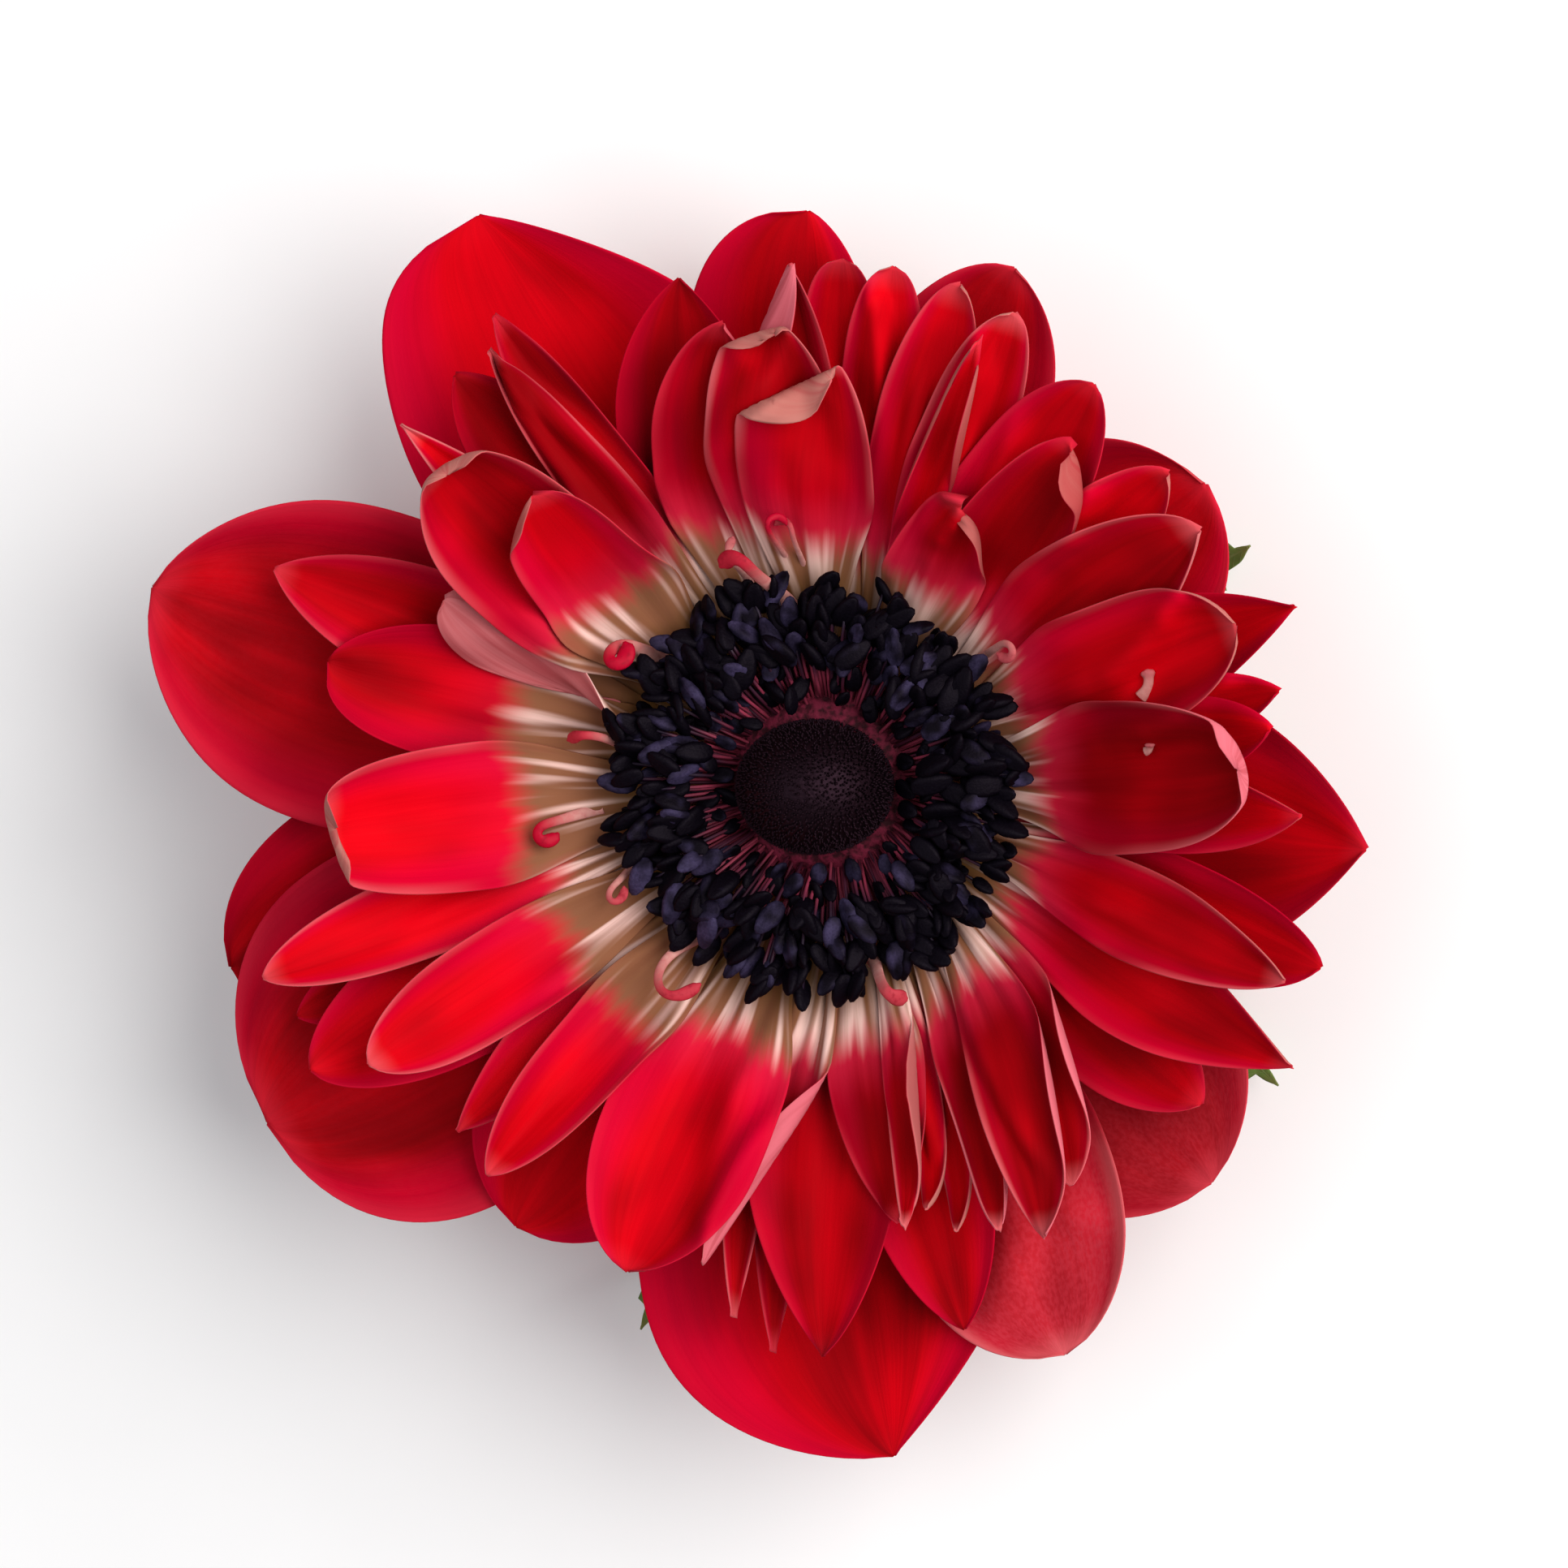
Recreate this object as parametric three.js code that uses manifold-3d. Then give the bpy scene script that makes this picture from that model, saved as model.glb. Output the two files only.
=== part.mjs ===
// Double poppy anemone flower, cut from its plant and lying face up on its three leafy bracts.
// Millimetres and degrees, +Z up. The flower's axis is vertical while the pieces are built, and
// the whole group is moved at the end so that the origin is under the middle of its box.

import * as THREE from 'three';
import { mergeVertices } from 'three/addons/utils/BufferGeometryUtils.js';
import Module from 'manifold-3d';

const wasm = await Module();
wasm.setup();
const { Manifold, Mesh: SolidMesh } = wasm;

// Driving sizes
const STEM_RADIUS = 2.1;
const STEM_END_HEIGHT = 0.6;
const RECEPTACLE_RADIUS = 4.0;
const RECEPTACLE_TOP = 14.0;
const SEAT_GAP = 0.3;
const PETAL_ROOT_RADIUS = 4.6;
const OUTER_ROOT_HEIGHT = 9.2;
const INNER_ROOT_HEIGHT = 11.2;
const OUTER_HUB_RADIUS = 6.5;
const INNER_HUB_RADIUS = 13.0;
const OUTER_THICKNESS = 0.8;
const INNER_THICKNESS = 0.6;
const CLAW_SHARE = 0.32;
const BROADEST_AT = 0.64;
const PISTIL_RADIUS = 5.5;
const PISTIL_TOP = 22.2;
const ANTHER_COUNT = 66;
const ANTHER_LENGTH = 2.6;
const ANTHER_WIDTH = 1.3;
const ANTHER_HEIGHT = 17.8;
const ANTHER_INNER_RADIUS = 8.2;
const ANTHER_OUTER_RADIUS = 14.0;
const BRACT_THICKNESS = 0.8;

// Each tepal or petal is read off the flower, seen from above, bearings counted from +X to +Y:
// bearing and reach of its tip, width, rise of its outer part above level, cup of its cross
// section, sway of the tip past the root, twist, hook of the tip, and roundness of the tip.
const OUTER_TEPALS = [
  [121, 45, 24, 12, 12, -6, 0, 0, 0.55],
  [164, 48.5, 23, 14, 14, -4, 0, 0, 0.3],
  [198, 43.5, 20, 12, 14, 0, 0, 0, 0.9],
  [212, 45.2, 25.5, 14, 10, 0, 0, 0, 1.0],
  [238, 36.3, 17, 16, 12, 0, 0, 0, 0.9],
  [277, 46, 26, 12, 12, 9, 0, 0, 0.4],
  [295, 42, 17, 14, 12, 0, 0, 0, 0.9],
  [316, 38, 20, 12, 12, 0, 0, 0, 0.9],
  [355, 38, 18.5, 16, 14, 0, 0, 0, 0.3],
  [38, 34, 18, 18, 14, 0, 0, 0, 0.9],
  [68, 38, 13, 18, 12, -5, 0, 0, 0.9],
  [90.5, 39, 14, 16, 12, -6, 0, 0, 0.9],
];

const INNER_PETALS = [
  [103, 35.5, 11.5, 22, 30, -12, 0, 0, 0.5],
  [98, 32, 11, 28, 30, -12, 0, 0, 0.5],
  [91, 27, 10, 36, 30, -4, 0, 0, 1.0],
  [96, 30.2, 8, 32, 30, -10, 0, 0, 1.0],
  [91, 35.8, 8, 26, 20, -3, 0, 0, 0.4],
  [85, 36, 6.5, 22, 30, 0, 0, 0, 0.9],
  [79.5, 36, 5.5, 22, 30, 0, 0, 0, 0.9],
  [72, 36, 7, 24, 40, 0, 0, 0, 1.0],
  [67.5, 33, 4.5, 30, 60, 0, 0, 0, 0.4],
  [65.5, 35, 7, 24, 40, 0, 0, 0, 1.0],
  [54, 34.3, 9, 26, 30, 0, 0, 0, 0.9],
  [50, 30, 8, 34, 40, 0, 0, 30, 0.6],
  [63, 22, 7.5, 40, 40, 0, 0, 0, 1.0],
  [41, 33.3, 7.5, 26, 30, 0, 0, 0, 0.9],
  [33.5, 33, 11, 32, 40, 0, 0, 0, 0.7],
  [22, 32.3, 11, 32, 40, 0, 0, 0, 1.1],
  [21.5, 36, 9, 22, 30, 0, 0, 0, 0.1],
  [13, 33.3, 6.5, 24, 30, 0, 0, 0, 0.6],
  [9, 32.5, 7, 28, 30, 0, 0, 0, 0.8],
  [6.5, 30.2, 12, 38, 60, 3, 0, 0, 1.0],
  [359, 34.2, 7, 26, 30, 0, 0, 0, 0.3],
  [343, 37, 8, 22, 30, 0, 0, 0, 0.8],
  [341, 35.2, 7, 28, 40, 0, 0, 0, 0.6],
  [333, 37.9, 7.5, 24, 40, 4, 0, 0, 0.2],
  [323, 34, 9, 20, 20, 0, 0, 0, 0.7],
  [308, 31.5, 5, 32, 60, -12, 0, 0, 0.3],
  [303, 32, 5.5, 34, 60, -8, 0, 0, 0.2],
  [298, 33, 4.5, 30, 60, -8, 0, 0, 0.2],
  [285, 29, 3.6, 34, 60, 0, 0, 0, 0.2],
  [283.5, 29.7, 7.5, 28, 40, 0, 0, 0, 0.4],
  [287, 38, 9.5, 16, 20, 0, 0, 0, 0.6],
  [273, 38, 11, 24, 30, 0, 0, 0, 0.35],
  [267.5, 38, 4.5, 20, 40, 4, 0, 0, 0.1],
  [263, 36, 4, 22, 40, 6, 0, 0, 0.1],
  [258.5, 32.4, 7.5, 37, 25, -8, 0, 0, 0.3],
  [251.5, 33.8, 12.5, 34, 30, 0, 0, 0, 0.9],
  [231.5, 33, 8.5, 35, 30, 0, 0, 0, 0.7],
  [225, 33, 6.5, 30, 40, 0, 0, 0, 0.3],
  [213, 33.8, 8.5, 36, 40, 2, 0, 0, 0.9],
  [210, 38.8, 10.5, 24, 30, 0, 0, 0, 0.8],
  [199.5, 38.5, 9.5, 30, 40, 0, 0, 0, 0.7],
  [204.5, 38.5, 7, 20, 30, 0, 0, 0, 0.7],
  [185, 31, 10.5, 38, 30, 0, 0, 0, 1.1],
  [165.5, 33.8, 10.5, 24, 40, 0, 0, 0, 1.0],
  [158, 39.3, 9, 20, 30, 0, 0, 0, 0.5],
  [149, 31.2, 5.5, 39, 15, 6, 0, 0, 0.5],
  [137, 36.3, 5.5, 28, 50, 0, 0, 0, 0.1],
  [130, 36.5, 9, 22, 30, 0, 0, 0, 0.6],
  [125, 36.3, 5, 26, 40, 0, 0, 0, 0.3],
  [122.5, 38, 6.5, 24, 50, 0, 0, 0, 0.4],
  [135.5, 31.5, 12, 37, 45, -6, 0, 15, 1.1],
  [130, 26.2, 9.5, 42, 40, -12, 0, 0, 1.1],
];

// Curled petal-like stamens just outside the ring of anthers: bearing, radius where the strip
// stands up, height of its bend, width, and how far the tip leans sideways.
const CURLED_STAMENS = [
  [104, 15.8, 20.5, 2.0, 1.5],
  [96, 17.0, 22.0, 2.4, -1.0],
  [113, 16.4, 20.0, 2.0, 1.0],
  [141, 15.8, 19.5, 2.6, 2.0],
  [166, 15.6, 19.5, 2.0, -1.5],
  [189, 17.2, 19.5, 2.2, 1.0],
  [205, 15.6, 19.5, 2.4, -2.0],
  [239, 16.0, 20.5, 2.4, 2.0],
  [291, 15.8, 19.5, 2.0, -1.5],
  [35, 17.4, 21.0, 2.2, 1.5],
  [18, 22.0, 23.0, 1.8, 1.0],
  [7, 21.5, 23.0, 1.8, -1.0],
];

// Bracts: bearing of the middle of each, and its lobes: bearing from that middle, reach and width.
const BRACTS = [
  [358, [[-31, 33.4, 3.0], [-15, 31, 3.2], [0, 30.5, 3.6], [14, 29.5, 3.2], [35, 31, 3.0]]],
  [118, [[-30, 34, 3.0], [-16, 36, 3.2], [0, 37, 3.6], [14, 37, 3.2], [31, 34, 3.0]]],
  [238, [[-30, 34, 3.0], [-14, 34, 3.2], [0, 33, 3.4], [9.5, 37.8, 3.2], [31, 34, 3.0]]],
];

// Helpers
const radians = THREE.MathUtils.degToRad;

const smooth = (value) => THREE.MathUtils.smoothstep(value, 0, 1);

// A repeatable random number between 0 and 1 for each whole number.
function noise(index) {
  const value = Math.sin(index * 12.9898 + 4.1414) * 43758.5453;
  return value - Math.floor(value);
}

function toSolid(geometry) {
  const bare = geometry.clone();
  bare.deleteAttribute('normal');
  bare.deleteAttribute('uv');
  const welded = mergeVertices(bare, 1e-4);
  return new Manifold(new SolidMesh({
    numProp: 3,
    vertProperties: new Float32Array(welded.attributes.position.array),
    triVerts: new Uint32Array(welded.index.array),
  }));
}

function toGeometry(solid) {
  const mesh = solid.getMesh();
  const geometry = new THREE.BufferGeometry();
  geometry.setAttribute('position', new THREE.BufferAttribute(new Float32Array(mesh.vertProperties), 3));
  geometry.setIndex(Array.from(mesh.triVerts));
  return geometry;
}

// Fused pieces are one body: the outer skin is kept, and pockets sealed between blades are filled.
function fuse(solids) {
  const skins = Manifold.union(solids).decompose();
  return skins.reduce((largest, skin) => (skin.volume() > largest.volume() ? skin : largest));
}

// A solid of revolution about the flower's axis from [radius, height] pairs.
function turned(profile, segments = 28) {
  const points = profile.map(([radius, height]) => new THREE.Vector2(radius, height));
  const geometry = new THREE.LatheGeometry(points, segments);
  geometry.rotateX(Math.PI / 2);
  return toSolid(geometry);
}

// A closed sheet from two equal grids of points, split into triangles alike on both faces.
function sheet(upper, lower) {
  const rows = upper.length;
  const columns = upper[0].length;
  const positions = [];
  for (const grid of [upper, lower]) {
    for (const line of grid) {
      line.forEach((point) => positions.push(point.x, point.y, point.z));
    }
  }
  const top = (i, j) => i * columns + j;
  const bottom = (i, j) => rows * columns + i * columns + j;
  const index = [];
  for (let i = 0; i < rows - 1; i += 1) {
    for (let j = 0; j < columns - 1; j += 1) {
      index.push(top(i, j), top(i + 1, j), top(i + 1, j + 1), top(i, j), top(i + 1, j + 1), top(i, j + 1));
      index.push(bottom(i, j), bottom(i + 1, j + 1), bottom(i + 1, j));
      index.push(bottom(i, j), bottom(i, j + 1), bottom(i + 1, j + 1));
    }
  }
  const rim = (a, b, c, d) => index.push(a, c, b, b, c, d);
  for (let i = 0; i < rows - 1; i += 1) {
    rim(top(i, 0), top(i + 1, 0), bottom(i, 0), bottom(i + 1, 0));
    rim(top(i + 1, columns - 1), top(i, columns - 1), bottom(i + 1, columns - 1), bottom(i, columns - 1));
  }
  for (let j = 0; j < columns - 1; j += 1) {
    rim(top(0, j + 1), top(0, j), bottom(0, j + 1), bottom(0, j));
    rim(top(rows - 1, j), top(rows - 1, j + 1), bottom(rows - 1, j), bottom(rows - 1, j + 1));
  }
  const geometry = new THREE.BufferGeometry();
  geometry.setAttribute('position', new THREE.Float32BufferAttribute(positions, 3));
  geometry.setIndex(index);
  return toSolid(geometry);
}

// Petals
function petalHalfWidth(s, width, roundness) {
  const grow = Math.sin((Math.PI / 2) * Math.min(s / BROADEST_AT, 1)) ** 2;
  const past = Math.max((s - BROADEST_AT) / (1 - BROADEST_AT), 0);
  const fall = (1 - Math.min(past, 1) ** (1.7 + roundness)) ** (1.05 - 0.55 * roundness);
  const share = s < BROADEST_AT ? CLAW_SHARE + (1 - CLAW_SHARE) * grow : fall;
  return Math.max((width / 2) * share, 0.35);
}

// The middle line of a petal, walked from its root, then scaled so that the tip has its reach.
function petalMidline(row, rootHeight, stations) {
  const [, reach, , rise, , sway, , hook] = row;
  const start = 6 + 0.12 * rise;
  const span = reach - PETAL_ROOT_RADIUS;
  const pitchAt = (s) => {
    const turn = smooth((s * span - 4) / 12);
    return radians(start + (rise - start) * turn + hook * smooth((s - 0.72) / 0.28));
  };
  const headingAt = (s) => radians(2.3 * sway) * s;
  const steps = 6;
  const line = [];
  const at = { outward: 0, aside: 0, up: 0 };
  stations.forEach((s, i) => {
    const previous = i ? stations[i - 1] : 0;
    const step = (s - previous) / steps;
    for (let k = 0; k < steps && step > 0; k += 1) {
      const middle = previous + (k + 0.5) * step;
      at.outward += step * Math.cos(pitchAt(middle)) * Math.cos(headingAt(middle));
      at.aside += step * Math.cos(pitchAt(middle)) * Math.sin(headingAt(middle));
      at.up += step * Math.sin(pitchAt(middle));
    }
    line.push({ s, ...at, pitch: pitchAt(s), heading: headingAt(s) });
  });
  const length = (reach * Math.cos(radians(sway)) - PETAL_ROOT_RADIUS) / Math.max(at.outward, 0.2);
  for (const point of line) {
    point.position = new THREE.Vector3(
      PETAL_ROOT_RADIUS + length * point.outward,
      length * point.aside,
      rootHeight + 0.04 * rise + length * point.up,
    );
  }
  return line;
}

function petal(row, rootHeight, fromRadius, thickness, along, across) {
  const [bearing, reach, width, rise, cup, sway, twist, , roundness] = row;
  const span = reach - PETAL_ROOT_RADIUS;
  const first = (fromRadius - PETAL_ROOT_RADIUS) / span;
  const stations = [];
  for (let i = 0; i <= along; i += 1) {
    const even = i / along;
    stations.push(first + (1 - first) * 0.5 * (even + Math.sin((Math.PI / 2) * even)));
  }
  const turnToBearing = new THREE.Matrix4().makeRotationZ(radians(bearing - sway));
  const upper = [];
  const lower = [];
  for (const point of petalMidline(row, rootHeight, stations)) {
    const { s, pitch, heading } = point;
    const tangent = new THREE.Vector3(
      Math.cos(pitch) * Math.cos(heading),
      Math.cos(pitch) * Math.sin(heading),
      Math.sin(pitch),
    );
    const side = new THREE.Vector3(-Math.sin(heading), Math.cos(heading), 0);
    const normal = new THREE.Vector3().crossVectors(tangent, side);
    const roll = radians(twist) * smooth(1.1 * s);
    side.applyAxisAngle(tangent, roll);
    normal.applyAxisAngle(tangent, roll);
    const halfWidth = petalHalfWidth(s, width, roundness);
    const curl = Math.max(radians(cup) * smooth((s * span - 6) / 12), 1e-3);
    const upperLine = [];
    const lowerLine = [];
    for (let j = 0; j <= across; j += 1) {
      const angle = curl * ((2 * j) / across - 1);
      const middle = point.position.clone()
        .addScaledVector(side, (halfWidth / curl) * Math.sin(angle))
        .addScaledVector(normal, (halfWidth / curl) * (1 - Math.cos(angle)));
      const out = normal.clone().multiplyScalar(Math.cos(angle)).addScaledVector(side, -Math.sin(angle));
      upperLine.push(middle.clone().addScaledVector(out, thickness / 2).applyMatrix4(turnToBearing));
      lowerLine.push(middle.clone().addScaledVector(out, -thickness / 2).applyMatrix4(turnToBearing));
    }
    upper.push(upperLine);
    lower.push(lowerLine);
  }
  return sheet(upper, lower);
}

function outerTepals() {
  const inside = RECEPTACLE_RADIUS + SEAT_GAP;
  const collar = turned([[inside, 8.9], [7.4, 9.4], [8.0, 10.5], [inside, 10.4], [inside, 8.9]], 24);
  const blades = OUTER_TEPALS.map((row) => (
    petal(row, OUTER_ROOT_HEIGHT, OUTER_HUB_RADIUS, OUTER_THICKNESS, 6, row[2] > 18 ? 3 : 2)));
  return fuse([collar, ...blades]);
}

// A strip along a smooth curve, flat across the given direction.
function strip(curve, aside, widths, thickness, along) {
  const upper = [];
  const lower = [];
  for (let i = 0; i <= along; i += 1) {
    const share = i / along;
    const point = curve.getPoint(share);
    const tangent = curve.getTangent(share);
    const side = aside.clone().addScaledVector(tangent, -aside.dot(tangent)).normalize();
    const normal = new THREE.Vector3().crossVectors(tangent, side);
    const halfWidth = widths(share) / 2;
    const edge = (across, out) => (
      point.clone().addScaledVector(side, across).addScaledVector(normal, out));
    upper.push([edge(-halfWidth, thickness / 2), edge(halfWidth, thickness / 2)]);
    lower.push([edge(-halfWidth, -thickness / 2), edge(halfWidth, -thickness / 2)]);
  }
  return sheet(upper, lower);
}

function curledStamen([bearing, radius, top, width, lean]) {
  const angle = radians(bearing);
  const outward = new THREE.Vector3(Math.cos(angle), Math.sin(angle), 0);
  const aside = new THREE.Vector3(-Math.sin(angle), Math.cos(angle), 0);
  const at = (r, z, offset) => outward.clone().multiplyScalar(r).addScaledVector(aside, offset).setZ(z);
  const curve = new THREE.CatmullRomCurve3([
    at(INNER_HUB_RADIUS - 1.0, 14.5, 0),
    at(radius - 1.6, 15.0, 0),
    at(radius, 16.6, 0),
    at(radius + 0.6, top - 1, 0.4 * lean),
    at(radius - 0.4, top, 0.8 * lean),
    at(radius - 1.5, top - 0.7, lean),
  ]);
  const widths = (share) => width * (0.55 + 0.45 * Math.sin(Math.PI * Math.min(1.2 * share, 1)));
  return strip(curve, aside, widths, 0.6, 5);
}

// The hub is the fused foot of the inner petals, which hides under the stamens.
function innerPetals() {
  const inside = RECEPTACLE_RADIUS + SEAT_GAP;
  const hub = turned([
    [inside, 10.6],
    [6.2, 10.6],
    [13.4, 12.7],
    [13.8, 14.0],
    [13.4, 15.5],
    [11.6, 15.4],
    [6.8, 13.4],
    [inside, 13.4],
    [inside, 10.6],
  ]);
  const blades = INNER_PETALS.map((row) => (
    petal(row, INNER_ROOT_HEIGHT, INNER_HUB_RADIUS, INNER_THICKNESS, 4, row[2] > 5 ? 2 : 1)));
  return fuse([hub, ...blades, ...CURLED_STAMENS.map(curledStamen)]);
}

// Stamens
// A spindle with pointed ends along local X, wider than it is thick.
function anther(length, width, thickness) {
  const sides = 4;
  const positions = [-length / 2, 0, 0];
  for (const [share, x] of [[0.9, -0.22], [1, 0.2]]) {
    for (let k = 0; k < sides; k += 1) {
      const angle = (2 * Math.PI * k) / sides;
      const across = (share * width * Math.cos(angle)) / 2;
      positions.push(x * length, across, (share * thickness * Math.sin(angle)) / 2);
    }
  }
  positions.push(length / 2, 0, 0);
  const index = [];
  for (let k = 0; k < sides; k += 1) {
    const next = (k + 1) % sides;
    index.push(0, 1 + next, 1 + k);
    index.push(1 + k, 1 + next, 1 + sides + next, 1 + k, 1 + sides + next, 1 + sides + k);
    index.push(1 + sides + k, 1 + sides + next, 1 + 2 * sides);
  }
  const geometry = new THREE.BufferGeometry();
  geometry.setAttribute('position', new THREE.Float32BufferAttribute(positions, 3));
  geometry.setIndex(index);
  return geometry;
}

function filament(from, to) {
  const length = from.distanceTo(to);
  const geometry = new THREE.CylinderGeometry(0.3, 0.24, length, 3, 1);
  geometry.translate(0, length / 2, 0);
  const turn = new THREE.Quaternion().setFromUnitVectors(
    new THREE.Vector3(0, 1, 0), to.clone().sub(from).normalize());
  geometry.applyQuaternion(turn);
  geometry.translate(from.x, from.y, from.z);
  return toSolid(geometry);
}

// Anthers are spread by the golden angle, from the inner edge of their ring to the outer one.
function stamens() {
  const inside = RECEPTACLE_RADIUS + SEAT_GAP;
  const collar = turned([
    [inside, 13.7], [6.4, 13.7], [6.4, 14.8], [5.0, 14.8], [inside, 14.3], [inside, 13.7]]);
  const pieces = [collar];
  const golden = Math.PI * (3 - Math.sqrt(5));
  for (let n = 0; n < ANTHER_COUNT; n += 1) {
    const share = (n + 0.5) / ANTHER_COUNT;
    const inner = ANTHER_INNER_RADIUS ** 2;
    const radius = Math.sqrt(inner + share * (ANTHER_OUTER_RADIUS ** 2 - inner));
    const angle = n * golden;
    const height = ANTHER_HEIGHT + 0.9 * (noise(n) - 0.5) - 0.5 * (share - 0.5);
    const tip = new THREE.Vector3(radius * Math.cos(angle), radius * Math.sin(angle), height);
    const root = new THREE.Vector3(5.9 * Math.cos(angle), 5.9 * Math.sin(angle), 14.3);
    const head = anther(ANTHER_LENGTH, ANTHER_WIDTH, 0.8 * ANTHER_WIDTH);
    head.rotateY(radians(-30 + 60 * noise(n + 500)));
    head.rotateZ(angle + radians(-70 + 140 * noise(n + 900)));
    head.translate(tip.x, tip.y, tip.z);
    pieces.push(filament(root, tip), toSolid(head));
  }
  return fuse(pieces);
}

// Pistil: a dome of many small carpels, whose tops roughen its surface.
function pistil() {
  const profile = [
    [0, RECEPTACLE_TOP + SEAT_GAP],
    [3.7, RECEPTACLE_TOP + SEAT_GAP],
    [4.5, 15.4],
    [0.97 * PISTIL_RADIUS, 16.6],
    [PISTIL_RADIUS, 18.0],
    [0.95 * PISTIL_RADIUS, 19.4],
    [0.8 * PISTIL_RADIUS, 20.7],
    [0.58 * PISTIL_RADIUS, 21.5],
    [0.3 * PISTIL_RADIUS, 22.0],
    [0, PISTIL_TOP],
  ];
  const points = profile.map(([radius, height]) => new THREE.Vector2(radius, height));
  const geometry = new THREE.LatheGeometry(points, 24);
  geometry.rotateX(Math.PI / 2);
  geometry.deleteAttribute('normal');
  geometry.deleteAttribute('uv');
  const dome = mergeVertices(geometry, 1e-4);
  const position = dome.attributes.position;
  for (let i = 0; i < position.count; i += 1) {
    const x = position.getX(i);
    const y = position.getY(i);
    const radius = Math.hypot(x, y);
    if (radius > 1 && position.getZ(i) > 15) {
      const angle = Math.atan2(y, x);
      const ripple = 1 + 0.025 * Math.sin(12 * angle + 2.6 * position.getZ(i));
      position.setXY(i, x * ripple, y * ripple);
    }
  }
  return toSolid(dome);
}

// Stem: a short cut stub that widens into the receptacle, which carries every ring above.
function stem() {
  return turned([
    [0, STEM_END_HEIGHT],
    [STEM_RADIUS, STEM_END_HEIGHT],
    [STEM_RADIUS, 5.0],
    [2.3, 7.0],
    [3.4, 8.1],
    [4.6, 8.6],
    [RECEPTACLE_RADIUS, 8.8],
    [RECEPTACLE_RADIUS, 13.2],
    [3.6, RECEPTACLE_TOP],
    [0, RECEPTACLE_TOP],
  ], 20);
}

// Involucre: three cut bracts joined at their feet, each resting on the surface near its tip.
function bractLobe(bearing, reach, width) {
  const angle = radians(bearing);
  const outward = new THREE.Vector3(Math.cos(angle), Math.sin(angle), 0);
  const aside = new THREE.Vector3(-Math.sin(angle), Math.cos(angle), 0);
  const at = (r, z) => outward.clone().multiplyScalar(r).setZ(z);
  const along = 9;
  const curve = new THREE.CatmullRomCurve3([
    at(5.6, 6.1),
    at(9.5, 6.1),
    at(reach - 18, 3.6),
    at(reach - 12, 0.9),
    at(reach - 9, 0.3),
    at(reach - 6, 0.5),
    at(reach - 3, 2.0),
    at(reach, 4.4),
  ]);
  const notch = (share) => (Math.round(share * along) % 2 ? 1 : 0.55);
  const widths = (share) => Math.max(width * notch(share) * (1 - share ** 4), 0.8);
  return strip(curve, aside, widths, BRACT_THICKNESS, along);
}

function involucre() {
  const inside = 2.3 + SEAT_GAP;
  const collar = turned([
    [inside, 5.2], [4.4, 5.2], [6.6, 5.5], [6.6, 6.7], [inside, 6.9], [inside, 5.2]], 20);
  const pieces = [collar];
  for (const [middle, lobes] of BRACTS) {
    for (const [offset, reach, width] of lobes) {
      pieces.push(bractLobe(middle + offset, reach, width));
    }
  }
  const ground = new THREE.BoxGeometry(120, 120, 20);
  ground.translate(0, 0, -10);
  return fuse(pieces).subtract(toSolid(ground));
}

// Materials
const material = (colour, roughness) => (
  new THREE.MeshStandardMaterial({ color: colour, roughness, metalness: 0, side: THREE.DoubleSide }));

const group = new THREE.Group();

function add(name, solid, colour, roughness) {
  const mesh = new THREE.Mesh(toGeometry(solid), material(colour, roughness));
  mesh.name = name;
  group.add(mesh);
}

add('stem', stem(), 0x6b7a3c, 0.7);
add('involucre', involucre(), 0x4f7a34, 0.65);
add('outer_tepals', outerTepals(), 0xb3122a, 0.5);
add('inner_petals', innerPetals(), 0xc8142e, 0.5);
add('stamens', stamens(), 0x23222e, 0.55);
add('pistil', pistil(), 0x1a1418, 0.8);

const box = new THREE.Box3().setFromObject(group);
const centre = box.getCenter(new THREE.Vector3());
group.position.set(-centre.x, -centre.y, -box.min.z);

export default group;
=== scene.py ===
# %% [markdown]
# # A double poppy anemone
# The flower lies face up on its three cut leaves. Its plain solids come packed as a fixed frame, and
# this lesson dresses them: fine petals, stamens, pistil, stem and leaves, each on the place of its solid.
# The pieces are laid out in millimetres round the flower's own axis, and put into the frame at the end.

# %% Load the frame
import math
from collections import namedtuple
from types import SimpleNamespace

import bpy
import numpy as np
from mathutils import Matrix, Vector


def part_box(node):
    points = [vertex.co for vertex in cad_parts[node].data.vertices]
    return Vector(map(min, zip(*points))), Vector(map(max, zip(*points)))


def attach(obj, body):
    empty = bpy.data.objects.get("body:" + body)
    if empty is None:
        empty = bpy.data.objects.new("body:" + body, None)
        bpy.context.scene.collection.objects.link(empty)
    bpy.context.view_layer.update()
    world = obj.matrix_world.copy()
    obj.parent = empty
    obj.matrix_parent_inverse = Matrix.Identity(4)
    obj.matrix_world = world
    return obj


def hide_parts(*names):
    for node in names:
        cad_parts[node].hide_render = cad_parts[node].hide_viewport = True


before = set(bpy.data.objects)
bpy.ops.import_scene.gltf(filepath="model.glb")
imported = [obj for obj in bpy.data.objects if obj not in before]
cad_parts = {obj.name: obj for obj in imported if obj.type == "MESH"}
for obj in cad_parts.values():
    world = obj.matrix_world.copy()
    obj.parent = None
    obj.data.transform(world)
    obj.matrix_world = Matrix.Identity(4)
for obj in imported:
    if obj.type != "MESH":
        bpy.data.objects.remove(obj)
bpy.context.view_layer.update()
MM = 0.001
stem_low, stem_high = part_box("stem")
AXIS = (stem_low + stem_high) / 2
AXIS.z = 0
print(len(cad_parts), "solids; flower axis at", [round(value / MM, 2) for value in AXIS], "mm")

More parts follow.
